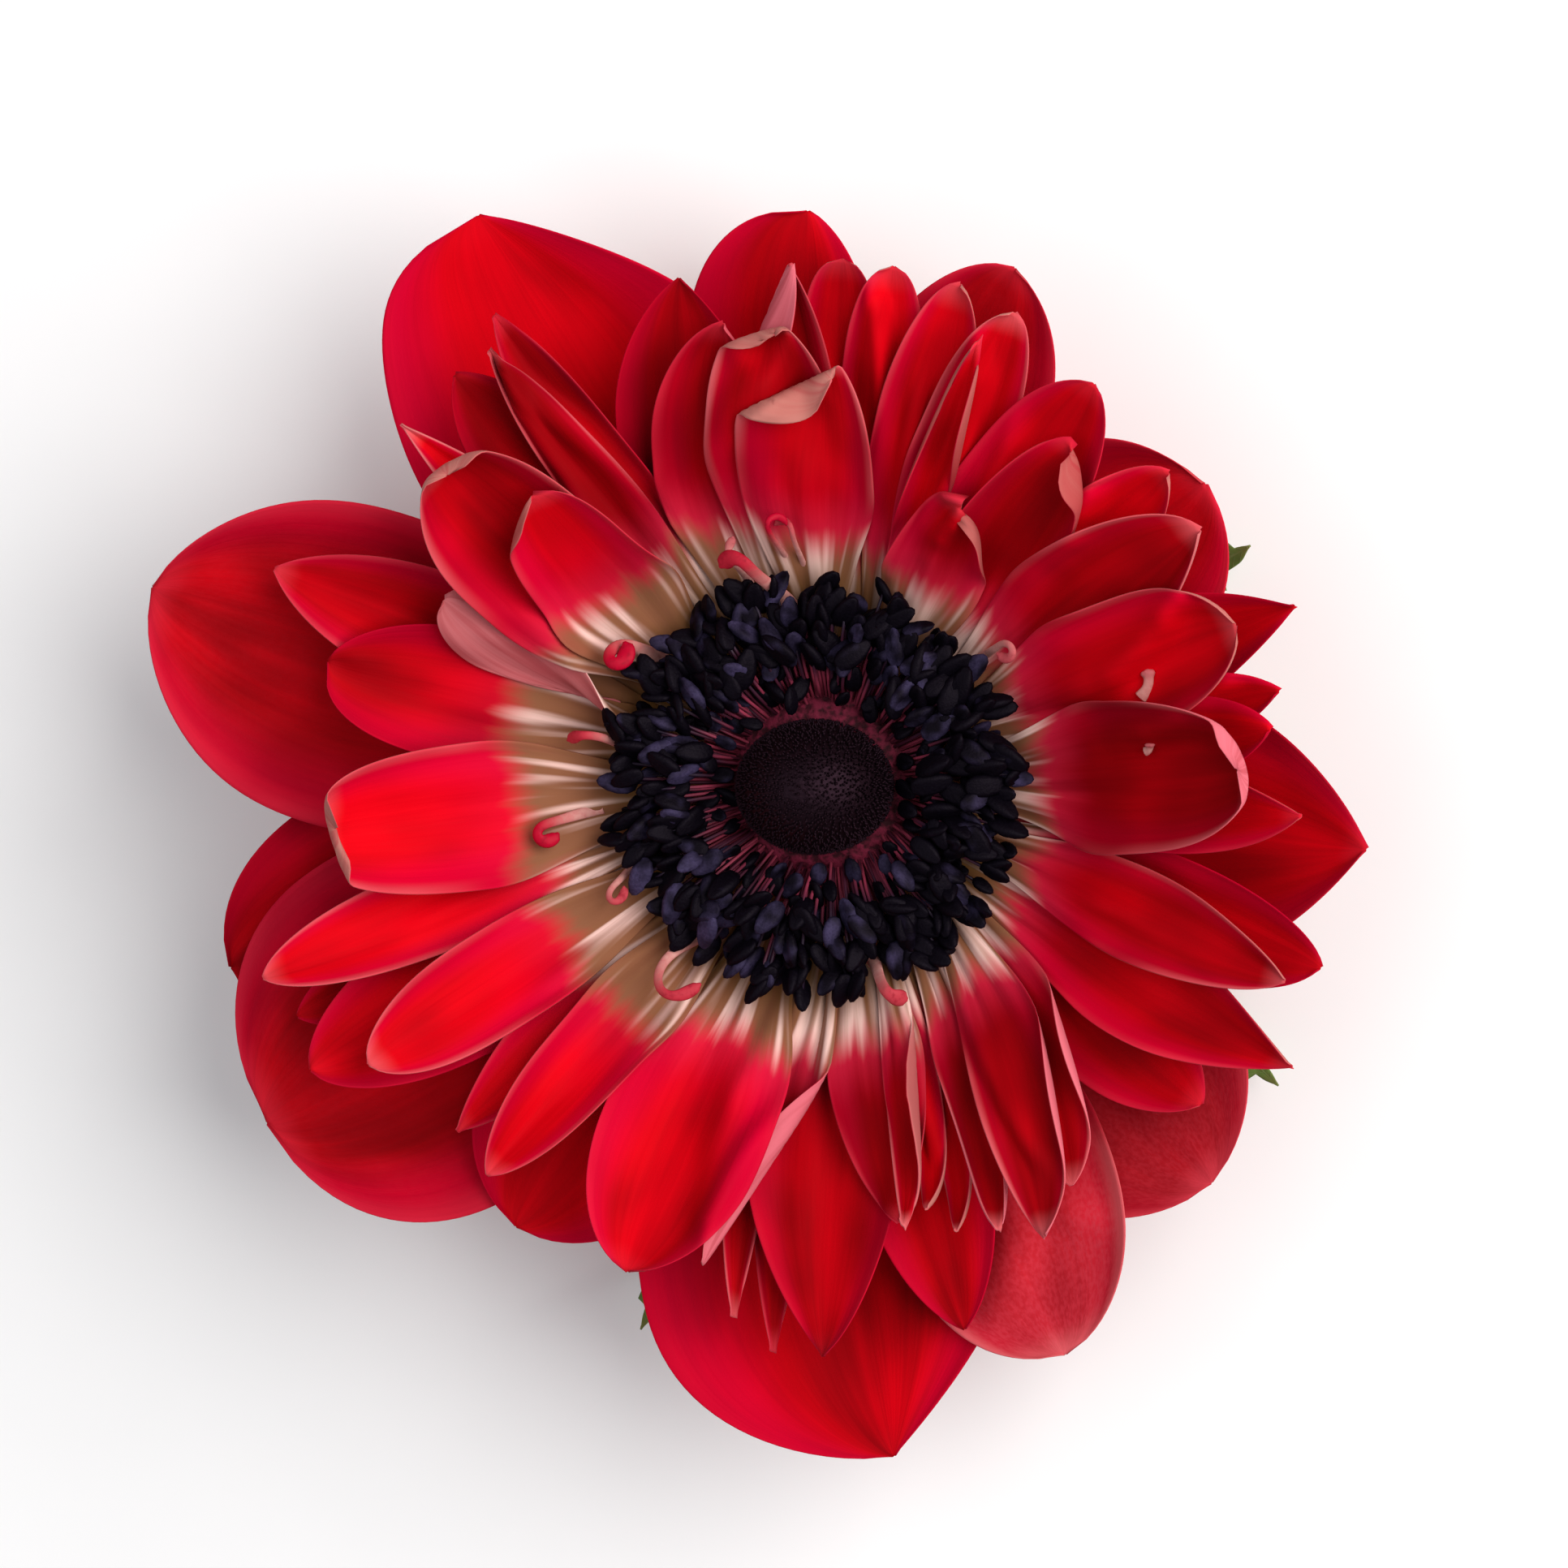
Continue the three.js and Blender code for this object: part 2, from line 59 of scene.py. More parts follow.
# %% [markdown]
# ## Numbers that repeat
# Nature looks random, but a lesson has to give the same flower each time. One generator with a fixed
# seed serves each piece, a smooth step eases one value into the next without a kink, and a running sum
# walks a line whose direction changes all the way.


# %% Small helpers
def smooth(value):
    value = np.clip(value, 0, 1)
    return value * value * (3 - 2 * value)


def chance(seed):
    return np.random.default_rng(seed)


def about_axis(bearing):
    """What points, as rows, are multiplied by to turn about the flower's axis."""
    east, north = math.cos(bearing), math.sin(bearing)
    return np.array([[east, north, 0], [-north, east, 0], [0, 0, 1]])


def running_sum(values, places):
    """The running integral of values over places, along the last axis, starting at 0."""
    slices = (values[..., 1:] + values[..., :-1]) / 2 * np.diff(places)
    return np.concatenate([np.zeros(values.shape[:-1] + (1,)), np.cumsum(slices, -1)], -1)


# %% [markdown]
# ## Shader recipes
# A finish is a small sum: streaks times colour, plus a pale rim. Written as node links that sum is hard
# to read, so one class wraps a socket and lets Python's own plus, minus and times add the Math nodes.
# A second class adds every other node, for shaders and for Geometry Nodes alike.


# %% Values
class Value:
    """One socket, and the sums that can be done with it."""

    def __init__(self, recipe, socket):
        self.recipe = recipe
        self.socket = socket

    def math(self, operation, other=None, flipped=False):
        pair = [self] if other is None else ([other, self] if flipped else [self, other])
        return self.recipe.node("ShaderNodeMath", {"operation": operation}, dict(enumerate(pair)))

    def __add__(self, other):
        return self.math("ADD", other)

    def __sub__(self, other):
        return self.math("SUBTRACT", other)

    def __mul__(self, other):
        return self.math("MULTIPLY", other)

    def __truediv__(self, other):
        return self.math("DIVIDE", other)

    def __radd__(self, other):
        return self.math("ADD", other, True)

    def __rsub__(self, other):
        return self.math("SUBTRACT", other, True)

    def __rmul__(self, other):
        return self.math("MULTIPLY", other, True)

    def step(self, start, end):
        """Eases from 0 at start to 1 at end."""
        if start > end:
            return 1 - self.step(end, start)
        ends = {"Value": self, "From Min": start, "From Max": end}
        return self.recipe.node("ShaderNodeMapRange", {"interpolation_type": "SMOOTHSTEP"}, ends)


# %% Recipes
class Recipe:
    """Adds nodes to one tree. A node comes back as the Value of its first output, or of a named one."""

    def __init__(self, tree):
        self.tree = tree

    def node(self, kind, settings=None, inputs=None, output=0):
        made = self.tree.nodes.new(kind)
        for name, setting in (settings or {}).items():
            setattr(made, name, setting)
        for name, given in (inputs or {}).items():
            socket = made.inputs[name]
            if isinstance(given, Value):
                self.tree.links.new(given.socket, socket)
            else:
                socket.default_value = given
        return Value(self, made.outputs[output])

    def blend(self, share, first, second):
        """A colour between two colours."""
        ends = {"Factor": share, 6: first, 7: second}
        return self.node("ShaderNodeMix", {"data_type": "RGBA"}, ends, 2)

    def place(self, x, y, z):
        return self.node("ShaderNodeCombineXYZ", None, {"X": x, "Y": y, "Z": z})

    def spot(self):
        """Where a point of the surface lies, in metres."""
        return self.node("ShaderNodeTexCoord", output="Object")

    def mark(self, name):
        """A number that the mesh keeps on its points."""
        return self.node("ShaderNodeAttribute", {"attribute_name": name}, output="Fac")

    def cloud(self, place, scale, detail):
        """Soft noise from 0 to 1."""
        ends = {"Vector": place, "Scale": scale, "Detail": detail}
        return self.node("ShaderNodeTexNoise", None, ends, "Fac")

    def bump(self, height, strength, distance):
        ends = {"Height": height, "Strength": strength, "Distance": distance}
        return self.node("ShaderNodeBump", None, ends)


# %% Colours and finishes
def colour(red, green, blue):
    return (red, green, blue, 1.0)


def finish(name, build, **constants):
    """A material whose recipe returns what changes over the surface; constants sit on the shader."""
    material = bpy.data.materials.new(name)
    material.use_nodes = True
    tree = material.node_tree
    tree.nodes.clear()
    recipe = Recipe(tree)
    shader = tree.nodes.new("ShaderNodeBsdfPrincipled")
    for socket, value in constants.items():
        shader.inputs[socket.replace("_", " ")].default_value = value
    for socket, value in build(recipe).items():
        tree.links.new(value.socket, shader.inputs[socket])
    output = tree.nodes.new("ShaderNodeOutputMaterial")
    tree.links.new(shader.outputs["BSDF"], output.inputs["Surface"])
    print("finish", name, "has", len(tree.nodes), "nodes")
    return material


# %% [markdown]
# ## The camera
# The photograph looks almost straight down the flower's axis. The pistil shows a little to the lower left
# of where the petals spread from, so the camera stands 13 degrees off the axis, on the side of bearing 25.
# A long lens keeps the petals from spreading, as the photograph shows them.

# %% Camera
IMAGE_SIDE = 1932
MM_PER_PIXEL = 0.055
AXIS_PIXEL = (998, 972)
ANTHER_PLANE = 18.0
CAMERA_TILT = math.radians(13)
CAMERA_BEARING = math.radians(25)
LENS = 150.0
SENSOR = 36.0
NEAREST_SEEN = 0.01
camera_distance = MM_PER_PIXEL * IMAGE_SIDE * LENS / SENSOR
lean = math.sin(CAMERA_TILT)
back = Vector((lean * math.cos(CAMERA_BEARING), lean * math.sin(CAMERA_BEARING), math.cos(CAMERA_TILT)))
right = Vector((0, 1, 0)).cross(back).normalized()
up = back.cross(right)
aim = Vector((0, 0, ANTHER_PLANE))
aim -= right * (AXIS_PIXEL[0] - IMAGE_SIDE / 2) * MM_PER_PIXEL
aim += up * (AXIS_PIXEL[1] - IMAGE_SIDE / 2) * MM_PER_PIXEL
camera_data = bpy.data.cameras.new("camera")
camera_data.lens = LENS
camera_data.sensor_width = SENSOR
camera_data.clip_start = NEAREST_SEEN
camera = bpy.data.objects.new("camera", camera_data)
turned_to_flower = Matrix((right, up, back)).transposed().to_4x4()
camera.matrix_world = Matrix.Translation((aim + back * camera_distance) * MM + AXIS) @ turned_to_flower
bpy.context.scene.collection.objects.link(camera)
bpy.context.scene.camera = camera
print("camera stands", round(camera_distance, 1), "mm from the anthers")

# %% [markdown]
# ## Floor and light
# The flower lies on a plain white surface. The petals at the lower left are the brightest and the dome
# shines at its upper right, so the main soft light comes from the upper right. A wide light overhead and
# a pale sky fill the shadows between the petals.

# %% Floor
FLOOR_HALF = 1.5
floor_mesh = bpy.data.meshes.new("floor")
corners = [(-FLOOR_HALF, -FLOOR_HALF, 0), (FLOOR_HALF, -FLOOR_HALF, 0),
           (FLOOR_HALF, FLOOR_HALF, 0), (-FLOOR_HALF, FLOOR_HALF, 0)]
floor_mesh.from_pydata(corners, [], [(0, 1, 2, 3)])
floor = bpy.data.objects.new("floor", floor_mesh)
bpy.context.scene.collection.objects.link(floor)


def paper_recipe(recipe):
    grain = recipe.cloud(recipe.spot(), 90.0, 2.0)
    return {"Base Color": recipe.blend(grain, colour(0.9, 0.9, 0.9), colour(0.93, 0.93, 0.93))}


floor_mesh.materials.append(finish("floor_paper", paper_recipe, Roughness=0.9))


# %% Lights
SKY_COLOUR = colour(0.95, 0.97, 1.0)
SKY_STRENGTH = 0.33


def soft_light(name, bearing, height, distance, size, power, tint):
    """A round light that shines at the flower from a bearing and a height, both in degrees."""
    data = bpy.data.lights.new(name, "AREA")
    data.shape = "DISK"
    data.size = size
    data.energy = power
    data.color = tint
    light = bpy.data.objects.new(name, data)
    turn, rise = math.radians(bearing), math.radians(height)
    way = Vector((math.cos(rise) * math.cos(turn), math.cos(rise) * math.sin(turn), math.sin(rise)))
    light.location = way * distance + AXIS
    light.rotation_euler = way.to_track_quat("Z", "Y").to_euler()
    bpy.context.scene.collection.objects.link(light)


soft_light("main_light", 20, 42, 0.8, 0.85, 8.8, (1.0, 0.97, 0.95))
soft_light("top_light", 170, 66, 0.9, 0.9, 2.0, (0.95, 0.97, 1.0))
world = bpy.data.worlds.new("sky")
world.use_nodes = True
background = world.node_tree.nodes["Background"]
background.inputs["Color"].default_value = SKY_COLOUR
background.inputs["Strength"].default_value = SKY_STRENGTH
bpy.context.scene.world = world
bpy.context.scene.view_settings.view_transform = "Standard"
print("two soft lights and a sky of strength", SKY_STRENGTH)

# %% [markdown]
# ## Petals as sheets
# A petal could be sculpted, cut from a plane with cloth, or drawn as a sheet that a few numbers bend. The
# flower has over sixty, no two alike, so each is a row of numbers read off the flower: where its tip is,
# how wide it is and how it rises, cups, twists and hooks. The middle line is walked from the root, the
# cross section is walked outward from it on both sides, and the sheet gets a thickness of its own.
# Bearings run anticlockwise from the right, lengths are in millimetres and angles in degrees. A tip that is
# turned over has three numbers: how far it is turned, which way its fold faces, and how far out that is.
# The last three, foot, pale and tone, only change the colours. Tone is partly the petal's own depth of red
# and partly painted shade, set lower for petals that lie in shade. Pale also sets a painted highlight on the
# margins and a painted sheen on the tepals.

# %% Petal measures
ROOT_RADIUS = 4.6
OUTER_ROOT_HEIGHT = 9.2
INNER_ROOT_HEIGHT = 11.2
CLAW_SHARE = 0.24
BROADEST_AT = 0.64
PLAIN_PETAL = {
    "cup": 30, "sway": 0, "twist": 0, "hook": 0, "tip": 0.8, "skew": 0, "lop": 0, "roll": 15, "curl": None,
    "fold": 0, "ruffle": 0.5, "foot": 0, "pale": 0.1, "tone": 0.5,
}
PETAL_MEASURES = ("bearing", "reach", "width", "rise", *PLAIN_PETAL)
Petal = namedtuple("Petal", PETAL_MEASURES, defaults=PLAIN_PETAL.values())

# %% Outer tepals
OUTER_TEPALS = [
    Petal(121, 45, 24, 12, 12, -6, tip=0.75, skew=0.45, fold=0.3, ruffle=0.9, tone=0.6),
    Petal(164, 47.6, 22.5, 14, 14, -4, tip=0.8, lop=0.06, ruffle=0.4, pale=0.5, tone=0.3),
    Petal(198, 43.5, 20, 12, 14, tip=0.9, roll=20, ruffle=0.8, tone=0.2),
    Petal(212, 45.2, 26.6, 14, 10, tip=1.0, ruffle=0.9, pale=0.5, tone=0.5),
    Petal(236, 37, 17.5, 16, 12, tip=0.9, ruffle=0.7, tone=0.5),
    Petal(277, 46, 28, 12, 12, 9, tip=0.4, skew=-0.25, lop=-0.08, ruffle=0.5, tone=0.34),
    Petal(295, 42, 17, 14, 12, tip=0.9, ruffle=0.6, pale=0.85, tone=0.4),
    Petal(316, 38, 20, 12, 12, tip=0.9, ruffle=0.5, pale=0.65, tone=0.1),
    Petal(355, 38, 18.5, 16, 14, tip=0.3, ruffle=0.4, pale=0.3, tone=0.4),
    Petal(38, 34, 18, 18, 14, tip=0.9, ruffle=0.4, pale=0.5, tone=0.6),
    Petal(68, 38, 13, 18, 12, -5, tip=0.9, ruffle=0.5, pale=0.5, tone=0.6),
    Petal(90.5, 39, 13.5, 16, 12, -6, tip=0.9, skew=0.2, lop=0.16, ruffle=0.4, tone=0.38),
]
print(len(OUTER_TEPALS), "outer tepals")

# %% Inner petals
INNER_PETALS = [
    Petal(103, 35.5, 11.5, 22, 30, -12, tip=0.5, tone=0.3),
    Petal(98, 32, 11, 28, 30, -12, tip=0.5, skew=0.3, pale=0.5, tone=0.32),
    Petal(85.3, 29.6, 9.2, 34, 14, -6, tip=1.0, skew=0.3, lop=0.14, curl=(165, 38, 3.5), pale=0.9, tone=0.42),
    Petal(91.5, 32.2, 9, 31, 12, -9, tip=1.0, skew=0.2, curl=(165, 24, 5.1), pale=0.9, tone=0.36),
    Petal(91, 36.4, 9.5, 26, 20, -3, tip=0.5, lop=0.3, curl=(160, 66, 1.8), pale=0.7, tone=0.3),
    Petal(85, 36, 6.5, 22, tip=1.2, pale=0.6),
    Petal(79.5, 36, 5.8, 22, tip=1.2, pale=0.6),
    Petal(72, 36, 7, 24, 40, tip=1.0, pale=0.7),
    Petal(67.5, 33, 5, 30, 60, tip=0.4, roll=60, fold=0.5, ruffle=1.1, pale=0.6),
    Petal(65.5, 35.6, 7, 24, 40, tip=1.0, curl=(120, -20, 7.0), pale=0.8),
    Petal(54, 34.3, 9.5, 26, tip=0.9, pale=0.4, tone=0.6),
    Petal(50.5, 30.5, 9, 32, 50, tip=1.1, roll=30, curl=(150, -32, 4.6), ruffle=1.2, pale=0.5, tone=0.28),
    Petal(60, 22.3, 7, 40, 40, tip=1.5, ruffle=1.4, pale=0.6, tone=0.3),
    Petal(41, 33.3, 7.5, 26, tip=0.9, pale=0.6, tone=0.6),
    Petal(33.5, 33, 11, 32, 40, tip=0.7, skew=0.2, roll=30, pale=0.8, tone=0.2),
    Petal(22, 32.3, 11, 32, 40, tip=1.1, roll=30, pale=0.75, tone=0.5),
    Petal(21.5, 36, 9, 22, tip=0.1, tone=0.4),
    Petal(13, 33.3, 6.5, 24, tip=0.6),
    Petal(9, 32.5, 7, 28, tip=0.8, tone=0.6),
    Petal(5.5, 31.6, 12, 35, 50, 3, tip=1.2, curl=(155, 10, 5.7), pale=0.85, tone=0.3),
    Petal(359, 34.2, 7, 26, tip=0.3, skew=-0.2, pale=0.5),
    Petal(343, 37, 8, 22, tip=0.8),
    Petal(341, 35.2, 7, 28, 40, tip=0.6, pale=0.8, tone=0.35),
    Petal(333, 37.9, 8.5, 24, 40, 4, tip=0.2, curl=(130, -90, 3.1), pale=0.6),
    Petal(323, 34, 9, 20, 20, tip=0.7, pale=0.4),
    Petal(306, 32, 6.6, 30, 30, -14, tip=0.7, lop=0.1, curl=(165, 86, 1.9), pale=0.85, tone=0.25),
    Petal(301, 33.8, 6.6, 33, 30, -14, tip=0.6, lop=0.1, curl=(165, 86, 1.8), pale=0.85, tone=0.15),
    Petal(296, 32, 4.5, 30, 50, -8, hook=20, tip=0.7, roll=60, pale=0.9, tone=0.3),
    Petal(291, 31, 2.8, 26, 40, -6, hook=50, tip=0.6, pale=1),
    Petal(288, 29, 2.8, 28, 40, -6, hook=50, tip=0.6, pale=1),
    Petal(285, 29.5, 3.8, 34, 60, -6, hook=30, tip=0.2, lop=0.2, curl=(150, 90, 0.5), pale=1, tone=0.2),
    Petal(283.5, 29.7, 7.5, 28, 40, tip=0.4, pale=0.6, tone=0.2),
    Petal(287, 38, 9.5, 16, 20, tip=0.6),
    Petal(273, 38, 11, 24, tip=0.35, skew=0.15, pale=0.2, tone=0.5),
    Petal(267.5, 38, 4.5, 20, 40, 4, tip=0.1, pale=0.6, tone=0.1),
    Petal(263, 36, 4, 22, 40, 6, tip=0.1, pale=0.8, tone=0.2),
    Petal(260, 32.5, 6.4, 34, 25, -13, tip=0.5, lop=-0.15, curl=(165, 82, -0.4), pale=1, tone=0.1),
    Petal(251.5, 33.8, 12.5, 34, tip=0.9, pale=0.3, tone=0.8),
    Petal(231.5, 33, 8.5, 35, 55, tip=0.7, fold=0.5, foot=2, pale=0.7, tone=0.5),
    Petal(225, 33, 6.5, 30, 40, tip=0.3, foot=1.8, pale=0.6, tone=0.7),
    Petal(213, 33.8, 8, 36, 40, 2, tip=0.9, foot=1.6, pale=0.8, tone=0.8),
    Petal(210, 38.8, 10.5, 24, 30, tip=0.8, pale=0.2, tone=0.8),
    Petal(199.5, 38.3, 7, 30, 40, 3, tip=0.7, pale=0.8, tone=0.75),
    Petal(204.5, 38.5, 7, 20, tip=0.7),
    Petal(185, 32.3, 10.5, 37, tip=1.4, foot=2, curl=(130, 12, 5.8), pale=0.8, tone=0.8),
    Petal(165.5, 33.8, 10.5, 24, 40, tip=1.0, skew=0.2, foot=2.6, tone=0.3),
    Petal(158, 39.3, 9, 20, tip=0.5, pale=0.65, tone=0.4),
    Petal(151, 27.6, 6.4, 33.5, 15, -15, 175, tip=1.0, pale=1, tone=0.32),
    Petal(137, 36.3, 5.5, 28, 50, tip=0.1, fold=0.4, pale=1),
    Petal(130, 36.5, 9, 22, tip=0.6, tone=0.3),
    Petal(125, 36.3, 5, 26, 40, tip=0.3, pale=0.8, tone=0.3),
    Petal(122.5, 38, 6.5, 24, 50, tip=0.4, fold=0.3, pale=0.5, tone=0.36),
    Petal(135.5, 32.8, 12, 34, 45, -6, hook=14, tip=1.1, lop=0.1, curl=(150, -13, 5.9), pale=0.8, tone=0.31),
    Petal(130, 26.8, 9.5, 42, 40, -12, tip=1.2, curl=(130, 35, 4.6), foot=0.8, pale=0.6, tone=0.5),
]
print(len(INNER_PETALS), "inner petals")

# %% [markdown]
# ## Bending one petal
# The pitch of the middle line grows from the root to the outer part, and the hook adds to it near the tip.
# Across the petal, the cup bends both halves up evenly, a fold bends them at the midrib only, and a roll
# turns both margins in. The two sides may end in unlike curves, which the skew gives, and the lop makes one
# broader than the other. Shallow pleats and a ruffled margin break the evenness. A lattice could bend a flat
# sheet as well, but measures of its own let each petal be corrected without touching the others.

# %% Outline of a petal
ALONG = 48
ACROSS = 28
THINNEST_HALF = 0.15


def half_width(s, width, roundness):
    """Half the width along a petal: a narrow claw, a swell, and a tip as round as asked."""
    grow = np.sin(np.pi / 2 * np.minimum(s / BROADEST_AT, 1)) ** 3
    past = np.clip((s - BROADEST_AT) / (1 - BROADEST_AT), 0, 1)
    fall = (1 - past ** (1.7 + roundness)) ** (1.05 - 0.55 * roundness)
    share = np.where(s < BROADEST_AT, CLAW_SHARE + (1 - CLAW_SHARE) * grow, fall)
    return np.maximum(width / 2 * share, THINNEST_HALF)


# %% Middle line of a petal
ROOT_PITCH = 6
FLAT_FOOT = 4
BEND_OVER = 12
SWAY_TURN = 2.3
HOOK_FROM = 0.72
NOD_FROM = 0.78


def middle_line(petal, s, root_height, draw):
    """The line from root to tip, the three directions along it, and its length."""
    span = petal.reach - ROOT_RADIUS
    start = ROOT_PITCH + 0.12 * petal.rise
    turn = smooth((s * span - FLAT_FOOT) / BEND_OVER)
    nod = draw.uniform(-12, 8) * smooth((s - NOD_FROM) / (1 - NOD_FROM)) * (not petal.curl)
    hook = petal.hook * smooth((s - HOOK_FROM) / (1 - HOOK_FROM))
    pitch = np.radians(start + (petal.rise - start) * turn + hook + nod)
    heading = np.radians(SWAY_TURN * petal.sway) * s
    level = np.cos(pitch)
    ahead = np.stack([level * np.cos(heading), level * np.sin(heading), np.sin(pitch)], -1)
    walked = running_sum(ahead.T, s).T
    length = (petal.reach * math.cos(math.radians(petal.sway)) - ROOT_RADIUS) / max(walked[-1, 0], 0.2)
    line = length * walked + [ROOT_RADIUS, 0, root_height + 0.04 * petal.rise]
    side = np.stack([-np.sin(heading), np.cos(heading), 0 * heading], -1)
    face = np.cross(ahead, side)
    twist = np.radians(petal.twist) * smooth(1.1 * s)[:, None]
    twisted = side * np.cos(twist) + face * np.sin(twist)
    return line, ahead, twisted, face * np.cos(twist) - side * np.sin(twist), length


# %% Cross section of a petal
def cross_section(petal, s, u, draw):
    """How far each point stands beside the middle line, and how far above it."""
    opened = smooth((s * (petal.reach - ROOT_RADIUS) - 6) / 12)[:, None]
    left = half_width(s, petal.width * (1 + petal.lop), petal.tip + petal.skew)[:, None]
    right = half_width(s, petal.width * (1 - petal.lop), petal.tip - petal.skew)[:, None]
    width = np.where(u > 0, left, right)
    wobble = 1 + 0.025 * np.sin(8 * s + draw.uniform(0, 6))[:, None] * opened
    bend = np.radians(petal.cup) * opened * ((1 - petal.fold) * u + petal.fold * np.tanh(u / 0.12))
    turned_in = smooth((s - 0.25) / 0.5)[:, None] * np.sign(u)
    bend = bend + np.radians(petal.roll) * smooth((np.abs(u) - 0.55) / 0.45) * turned_in
    centre = ACROSS // 2
    over = running_sum(np.cos(bend), u)
    lift = running_sum(np.sin(bend), u)
    over = (over - over[:, centre:centre + 1]) * width * wobble
    return over, (lift - lift[:, centre:centre + 1]) * width


def uneven(lift, petal, s, u, draw):
    """The same heights with shallow pleats, a ruffled margin and ribs at the foot."""
    out = s[:, None] * (petal.reach - ROOT_RADIUS)
    pleats = 0.014 * petal.width * np.cos(np.pi * (draw.uniform(2.4, 4) * u + draw.uniform(0, 2)))
    pleats = pleats * smooth(s / 0.35)[:, None] * (1 - s[:, None] ** 3)
    beat = draw.uniform(1.2, 2.2) * s[:, None] + draw.uniform(0, 1) + 0.23 * np.sign(u)
    waves = petal.ruffle * np.sin(2 * np.pi * beat) * np.abs(u) ** 2.2 * smooth((s - 0.3) / 0.4)[:, None]
    ribs = 0.2 * np.cos(3 * np.pi * u) * smooth((out - 4) / 4) * (1 - smooth((out - 10) / 7))
    return lift + pleats + waves + ribs


# %% [markdown]
# ## Turning a tip over
# Many petals show a pale flap, where the tip has turned back and shows its underside. Rolling each cross
# section by itself would stretch the flap, so the sheet is turned as the corner of a page is: a straight
# line is drawn on it, and what lies past that line goes round a thin rod and back over the petal.

# %% Turned tip
CURL_RADIUS = 0.55
CURL_START = 0.75


def turned_tip(points, curl, middle, ahead, side, face):
    """Turns a sheet over past a line that lies beyond middle, and says which points are turned."""
    turn, way, away = math.radians(curl[0]), math.radians(curl[1]), curl[2]
    beyond = ahead * math.cos(way) + side * math.sin(way)
    past = np.maximum((points - middle) @ beyond - away, 0)
    angle = np.minimum(past / CURL_RADIUS, turn)
    rest = past - CURL_RADIUS * angle
    points = points + (CURL_RADIUS * np.sin(angle) + rest * np.cos(angle) - past)[..., None] * beyond
    points = points + (CURL_RADIUS * (1 - np.cos(angle)) + rest * np.sin(angle))[..., None] * face
    return points, smooth(past / 1.5)


# %% Petal sheet
# Painted shade: the feet of petals that face away from this bearing, near the main light's, are painted
# browner.
LIGHT_BEARING = math.radians(15)


def on_grid(shape, **marks):
    """The numbers that colours read, one for each point of a sheet."""
    return {name: np.broadcast_to(values, shape) for name, values in marks.items()}


def petal_sheet(petal, root_height, seed):
    """The middle surface of a petal in millimetres, its marks, and which part is turned over."""
    draw = chance(seed)
    even = np.linspace(0, 1, ALONG + 1)
    s = 0.4 * even + 0.6 * np.sin(np.pi / 2 * even)
    u = np.linspace(-1, 1, ACROSS + 1)
    u = np.sign(u) * (1 - (1 - np.abs(u)) ** 1.3)
    line, ahead, side, face, length = middle_line(petal, s, root_height, draw)
    over, lift = cross_section(petal, s, u, draw)
    lift = uneven(lift, petal, s, u, draw)
    points = line[:, None] + side[:, None] * over[..., None] + face[:, None] * lift[..., None]
    turned_over = 0 * over
    if petal.curl:
        near = int(np.searchsorted(s, CURL_START))
        points, turned_over = turned_tip(points, petal.curl, line[near], ahead[near], side[near], face[near])
    bearing = math.radians(petal.bearing - petal.sway)
    # Painted shade: where a petal faces away from the light, its foot colours reach further out and its foot
    # is painted browner. The petal's own foot measure adds to both.
    faces_light = math.cos(bearing - LIGHT_BEARING)
    marks = on_grid(
        over.shape, along=s[:, None], across=u, aside=u * petal.width / 2, pale=petal.pale,
        spread=(ROOT_RADIUS + length * s + 2.6 * faces_light - petal.foot)[:, None],
        brown=max(-1.5 * faces_light - 0.5, 0) + petal.foot / 3, tone=petal.tone + draw.uniform(-0.15, 0.15))
    return points @ about_axis(bearing), marks, turned_over


widest = max(OUTER_TEPALS, key=lambda petal: petal.width)
widest_points = petal_sheet(widest, OUTER_ROOT_HEIGHT, 0)[0]
print("the widest tepal climbs to", round(widest_points[..., 2].max(), 1), "mm")

# %% [markdown]
# ## Laying petals over each other
# Sheets that are bent one by one cut through their neighbours. A real bud opens from the outside in, and
# each petal lies on those below. So the petals are laid down lowest first, over a height map of those
# already there: where a petal would sink into it, the petal is lifted clear, and the lift is eased out.
# A turned-over flap isn't lifted by itself: it goes up with the part of its own petal that it covers.

# %% Height map
CELL = 0.4
MAP_HALF = 56.0
NOTHING_YET = -100.0
cells = int(2 * MAP_HALF / CELL)
height_map = np.full((cells, cells), NOTHING_YET)
print("height map of", cells, "by", cells, "cells")


def cell_of(points):
    place = np.clip(((points[..., :2] + MAP_HALF) / CELL).astype(int), 0, cells - 1)
    return place[..., 0], place[..., 1]


def ease(values):
    """One pass of averaging with the four neighbours."""
    padded = np.pad(values, 1, mode="edge")
    around = padded[2:, 1:-1] + padded[:-2, 1:-1] + padded[1:-1, 2:] + padded[1:-1, :-2]
    return 0.5 * values + 0.125 * around


def denser(points, times=3):
    """More points between those of a grid, so that the map has no holes."""
    rows, columns = (np.linspace(0, size - 1, (size - 1) * times + 1) for size in points.shape[:2])
    i = np.minimum(rows.astype(int), points.shape[0] - 2)
    j = np.minimum(columns.astype(int), points.shape[1] - 2)
    fi, fj = (rows - i)[:, None, None], (columns - j)[None, :, None]
    near = points[i][:, j] * (1 - fj) + points[i][:, j + 1] * fj
    far = points[i + 1][:, j] * (1 - fj) + points[i + 1][:, j + 1] * fj
    return near * (1 - fi) + far * fi


# %% Laying a petal
CLEARANCE = 0.42
MOST_LIFT = 2.6
DEEPEST = 5
FREE_FROM = 11
FREE_OVER = 5


